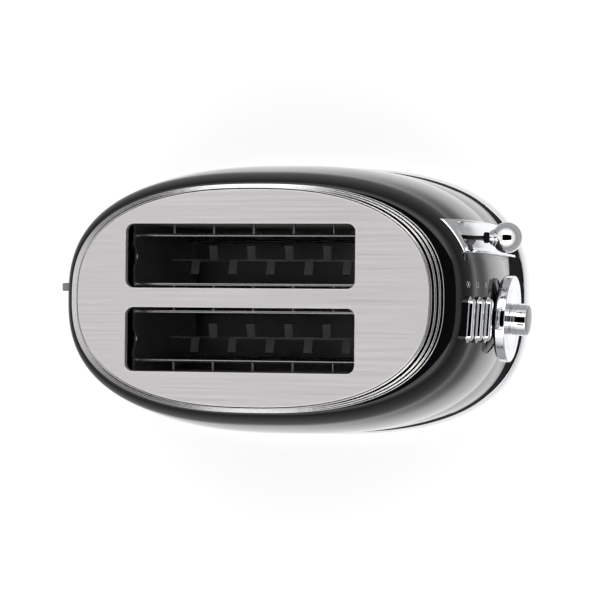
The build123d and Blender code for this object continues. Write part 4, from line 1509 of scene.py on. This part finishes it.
class StageOperator(bpy.types.Operator):
    """Sets up the floor, the lights and the camera"""

    bl_idname = "toaster.stage"
    bl_label = "Set the stage"

    def execute(self, context):
        sizes = context.scene.toaster_stage
        self.floor(sizes)
        self.sky(context.scene, sizes)
        self.lights(sizes)
        self.camera(context.scene, sizes)
        context.scene.view_settings.view_transform = "Standard"
        return {"FINISHED"}

    @staticmethod
    def floor(sizes):
        """White floor with the object's shadow; in mirrors it carries a painted pool of light that fades to grey
        away from the toaster.
        """
        half = 6.0
        mesh = bpy.data.meshes.new("floor")
        corners = [(-half, -half, 0.0), (half, -half, 0.0), (half, half, 0.0), (-half, half, 0.0)]
        mesh.from_pydata(corners, [], [(0, 1, 2, 3)])
        material, tree, shader = blank_material("White floor")
        shader.inputs["Roughness"].default_value = 0.9
        shader.inputs["Specular IOR Level"].default_value = 0.0
        where = tree.nodes.new("ShaderNodeTexCoord")
        squeezed = node_in(tree, "ShaderNodeVectorMath", operation="MULTIPLY")
        squeezed.inputs[1].default_value = (sizes.floor_squeeze, 1.0, 1.0)
        tree.links.new(where.outputs["Object"], squeezed.inputs[0])
        distance = node_in(tree, "ShaderNodeVectorMath", operation="LENGTH")
        tree.links.new(squeezed.outputs["Vector"], distance.inputs[0])
        # Painted pool of light: in mirrors the floor is white near the toaster and painted grey further off
        fade = ramp(
            tree, distance.outputs["Value"], sizes.floor_near, sizes.floor_far, 1.0, sizes.painted_far_grey,
            "SMOOTHSTEP",
        )
        # Only mirrored rays see the painted pool; the camera sees an even white floor
        path = tree.nodes.new("ShaderNodeLightPath")
        shade = mix_of(tree, "FLOAT", path.outputs["Is Glossy Ray"], 1.0, fade)
        paper_white = 0.9
        tree.links.new(math_of(tree, "MULTIPLY", shade, paper_white), shader.inputs["Base Color"])
        glow = math_of(tree, "MULTIPLY", backdrop_rays(tree), sizes.floor_glow)
        tree.links.new(math_of(tree, "MULTIPLY", glow, shade), shader.inputs["Emission Strength"])
        shader.inputs["Emission Color"].default_value = (1.0, 1.0, 1.0, 1.0)
        mesh.materials.append(material)
        floor = bpy.data.objects.new("floor", mesh)
        floor.location = (BODY_X, 0.0, 0.0)
        bpy.context.scene.collection.objects.link(floor)

    @staticmethod
    def sky(scene, sizes):
        """Even light for the object; what it mirrors is a pale ceiling with a dark gap over the toaster."""
        world = bpy.data.worlds.new("studio")
        scene.world = world
        world.use_nodes = True
        tree = world.node_tree
        back = tree.nodes["Background"]
        back.inputs["Color"].default_value = (1.0, 1.0, 1.0, 1.0)
        path = tree.nodes.new("ShaderNodeLightPath")
        way = tree.nodes.new("ShaderNodeTexCoord")
        parts = tree.nodes.new("ShaderNodeSeparateXYZ")
        tree.links.new(way.outputs["Generated"], parts.inputs["Vector"])

        def sideways(axis, middle):
            """Slope of a direction off the vertical, along an axis, from the gap's middle."""
            lift = math_of(tree, "MAXIMUM", parts.outputs["Z"], 0.01)
            slope = math_of(tree, "DIVIDE", parts.outputs[axis], lift)
            return math_of(tree, "ABSOLUTE", math_of(tree, "SUBTRACT", slope, middle))

        def inside(slope, half):
            """1 inside the gap and 0 past its soft edge."""
            edge = 0.04
            return ramp(tree, slope, half, half + edge, 1.0, 0.0, "SMOOTHSTEP")

        along = inside(sideways("X", sizes.gap_middle), sizes.gap_length)
        across = inside(sideways("Y", 0.0), sizes.gap_width)
        open_part = math_of(tree, "SUBTRACT", 1.0, math_of(tree, "MULTIPLY", along, across))
        wall_top, ceiling_start = 0.1, 0.55
        ceiling = ramp(
            tree, parts.outputs["Z"], wall_top, ceiling_start, sizes.horizon, sizes.ceiling,
            "SMOOTHSTEP",
        )
        room = math_of(tree, "MULTIPLY", ceiling, open_part)
        mirrored = mix_of(tree, "FLOAT", path.outputs["Is Glossy Ray"], sizes.sky, room)
        seen = mix_of(tree, "FLOAT", path.outputs["Is Camera Ray"], mirrored, 1.0)
        tree.links.new(seen, back.inputs["Strength"])

    @staticmethod
    def lights(sizes):
        """Two long softboxes with a dark gap between them, along the toaster's length."""
        aside = (sizes.box_gap + sizes.box_width) / 2
        for side in (-1.0, 1.0):
            light = bpy.data.lights.new("softbox", "AREA")
            light.shape = "RECTANGLE"
            light.size = sizes.box_length
            light.size_y = sizes.box_width
            light.energy = sizes.box_glow * math.pi * sizes.box_length * sizes.box_width
            lamp = bpy.data.objects.new("softbox", light)
            lamp.location = (sizes.box_ahead, side * aside, sizes.box_level)
            bpy.context.scene.collection.objects.link(lamp)

    @staticmethod
    def camera(scene, sizes):
        shift = Vector((BODY_X, 0.0, 0.0))
        place = Vector(sizes.camera_place) + shift
        aim = Vector(sizes.camera_aim) + shift
        ahead = (aim - place).normalized()
        right = ahead.cross(Vector((0.0, 1.0, 0.0))).normalized()
        above = right.cross(ahead)
        turn = sizes.camera_roll
        right, above = (
            right * math.cos(turn) + above * math.sin(turn),
            above * math.cos(turn) - right * math.sin(turn),
        )
        data = bpy.data.cameras.new("camera")
        data.sensor_width = 36.0
        data.lens = sizes.focal_length
        data.clip_end = 50.0
        camera = bpy.data.objects.new("camera", data)
        camera.matrix_world = Matrix((right, above, -ahead)).transposed().to_4x4()
        camera.location = place
        scene.collection.objects.link(camera)
        scene.camera = camera


GROUPS = (
    ("toaster_wall", WallSizes),
    ("toaster_trough", TroughSizes),
    ("toaster_buttons", ButtonSizes),
    ("toaster_dial", DialSizes),
    ("toaster_stage", StageSizes),
    ("toaster_finishes", FinishColours),
)

OPERATORS = (
    FinishesOperator,
    ShellOperator,
    RimOperator,
    BaseRingOperator,
    TroughOperator,
    LeverOperator,
    ButtonsOperator,
    DialOperator,
    MarksOperator,
    RivetsOperator,
    StageOperator,
)


class DresserPanel(bpy.types.Panel):
    """Lists the steps that dress the toaster"""

    bl_idname = "TOASTER_PT_dresser"
    bl_label = "Toaster"
    bl_space_type = "VIEW_3D"
    bl_region_type = "UI"
    bl_category = "Toaster"

    def draw(self, context):
        for operator in OPERATORS:
            self.layout.operator(operator.bl_idname)
        for label, _ in GROUPS:
            group = getattr(context.scene, label)
            box = self.layout.box()
            for name in group.bl_rna.properties.keys():
                if name not in ("rna_type", "name"):
                    box.prop(group, name)


def register():
    for label, group in GROUPS:
        bpy.utils.register_class(group)
        setattr(bpy.types.Scene, label, PointerProperty(type=group))
    for operator in OPERATORS:
        bpy.utils.register_class(operator)
    bpy.utils.register_class(DresserPanel)


def unregister():
    bpy.utils.unregister_class(DresserPanel)
    for operator in reversed(OPERATORS):
        bpy.utils.unregister_class(operator)
    for label, group in reversed(GROUPS):
        delattr(bpy.types.Scene, label)
        bpy.utils.unregister_class(group)


def main():
    register()
    for operator in OPERATORS:
        category, name = operator.bl_idname.split(".")
        getattr(getattr(bpy.ops, category), name)()


if __name__ == "__main__":
    main()
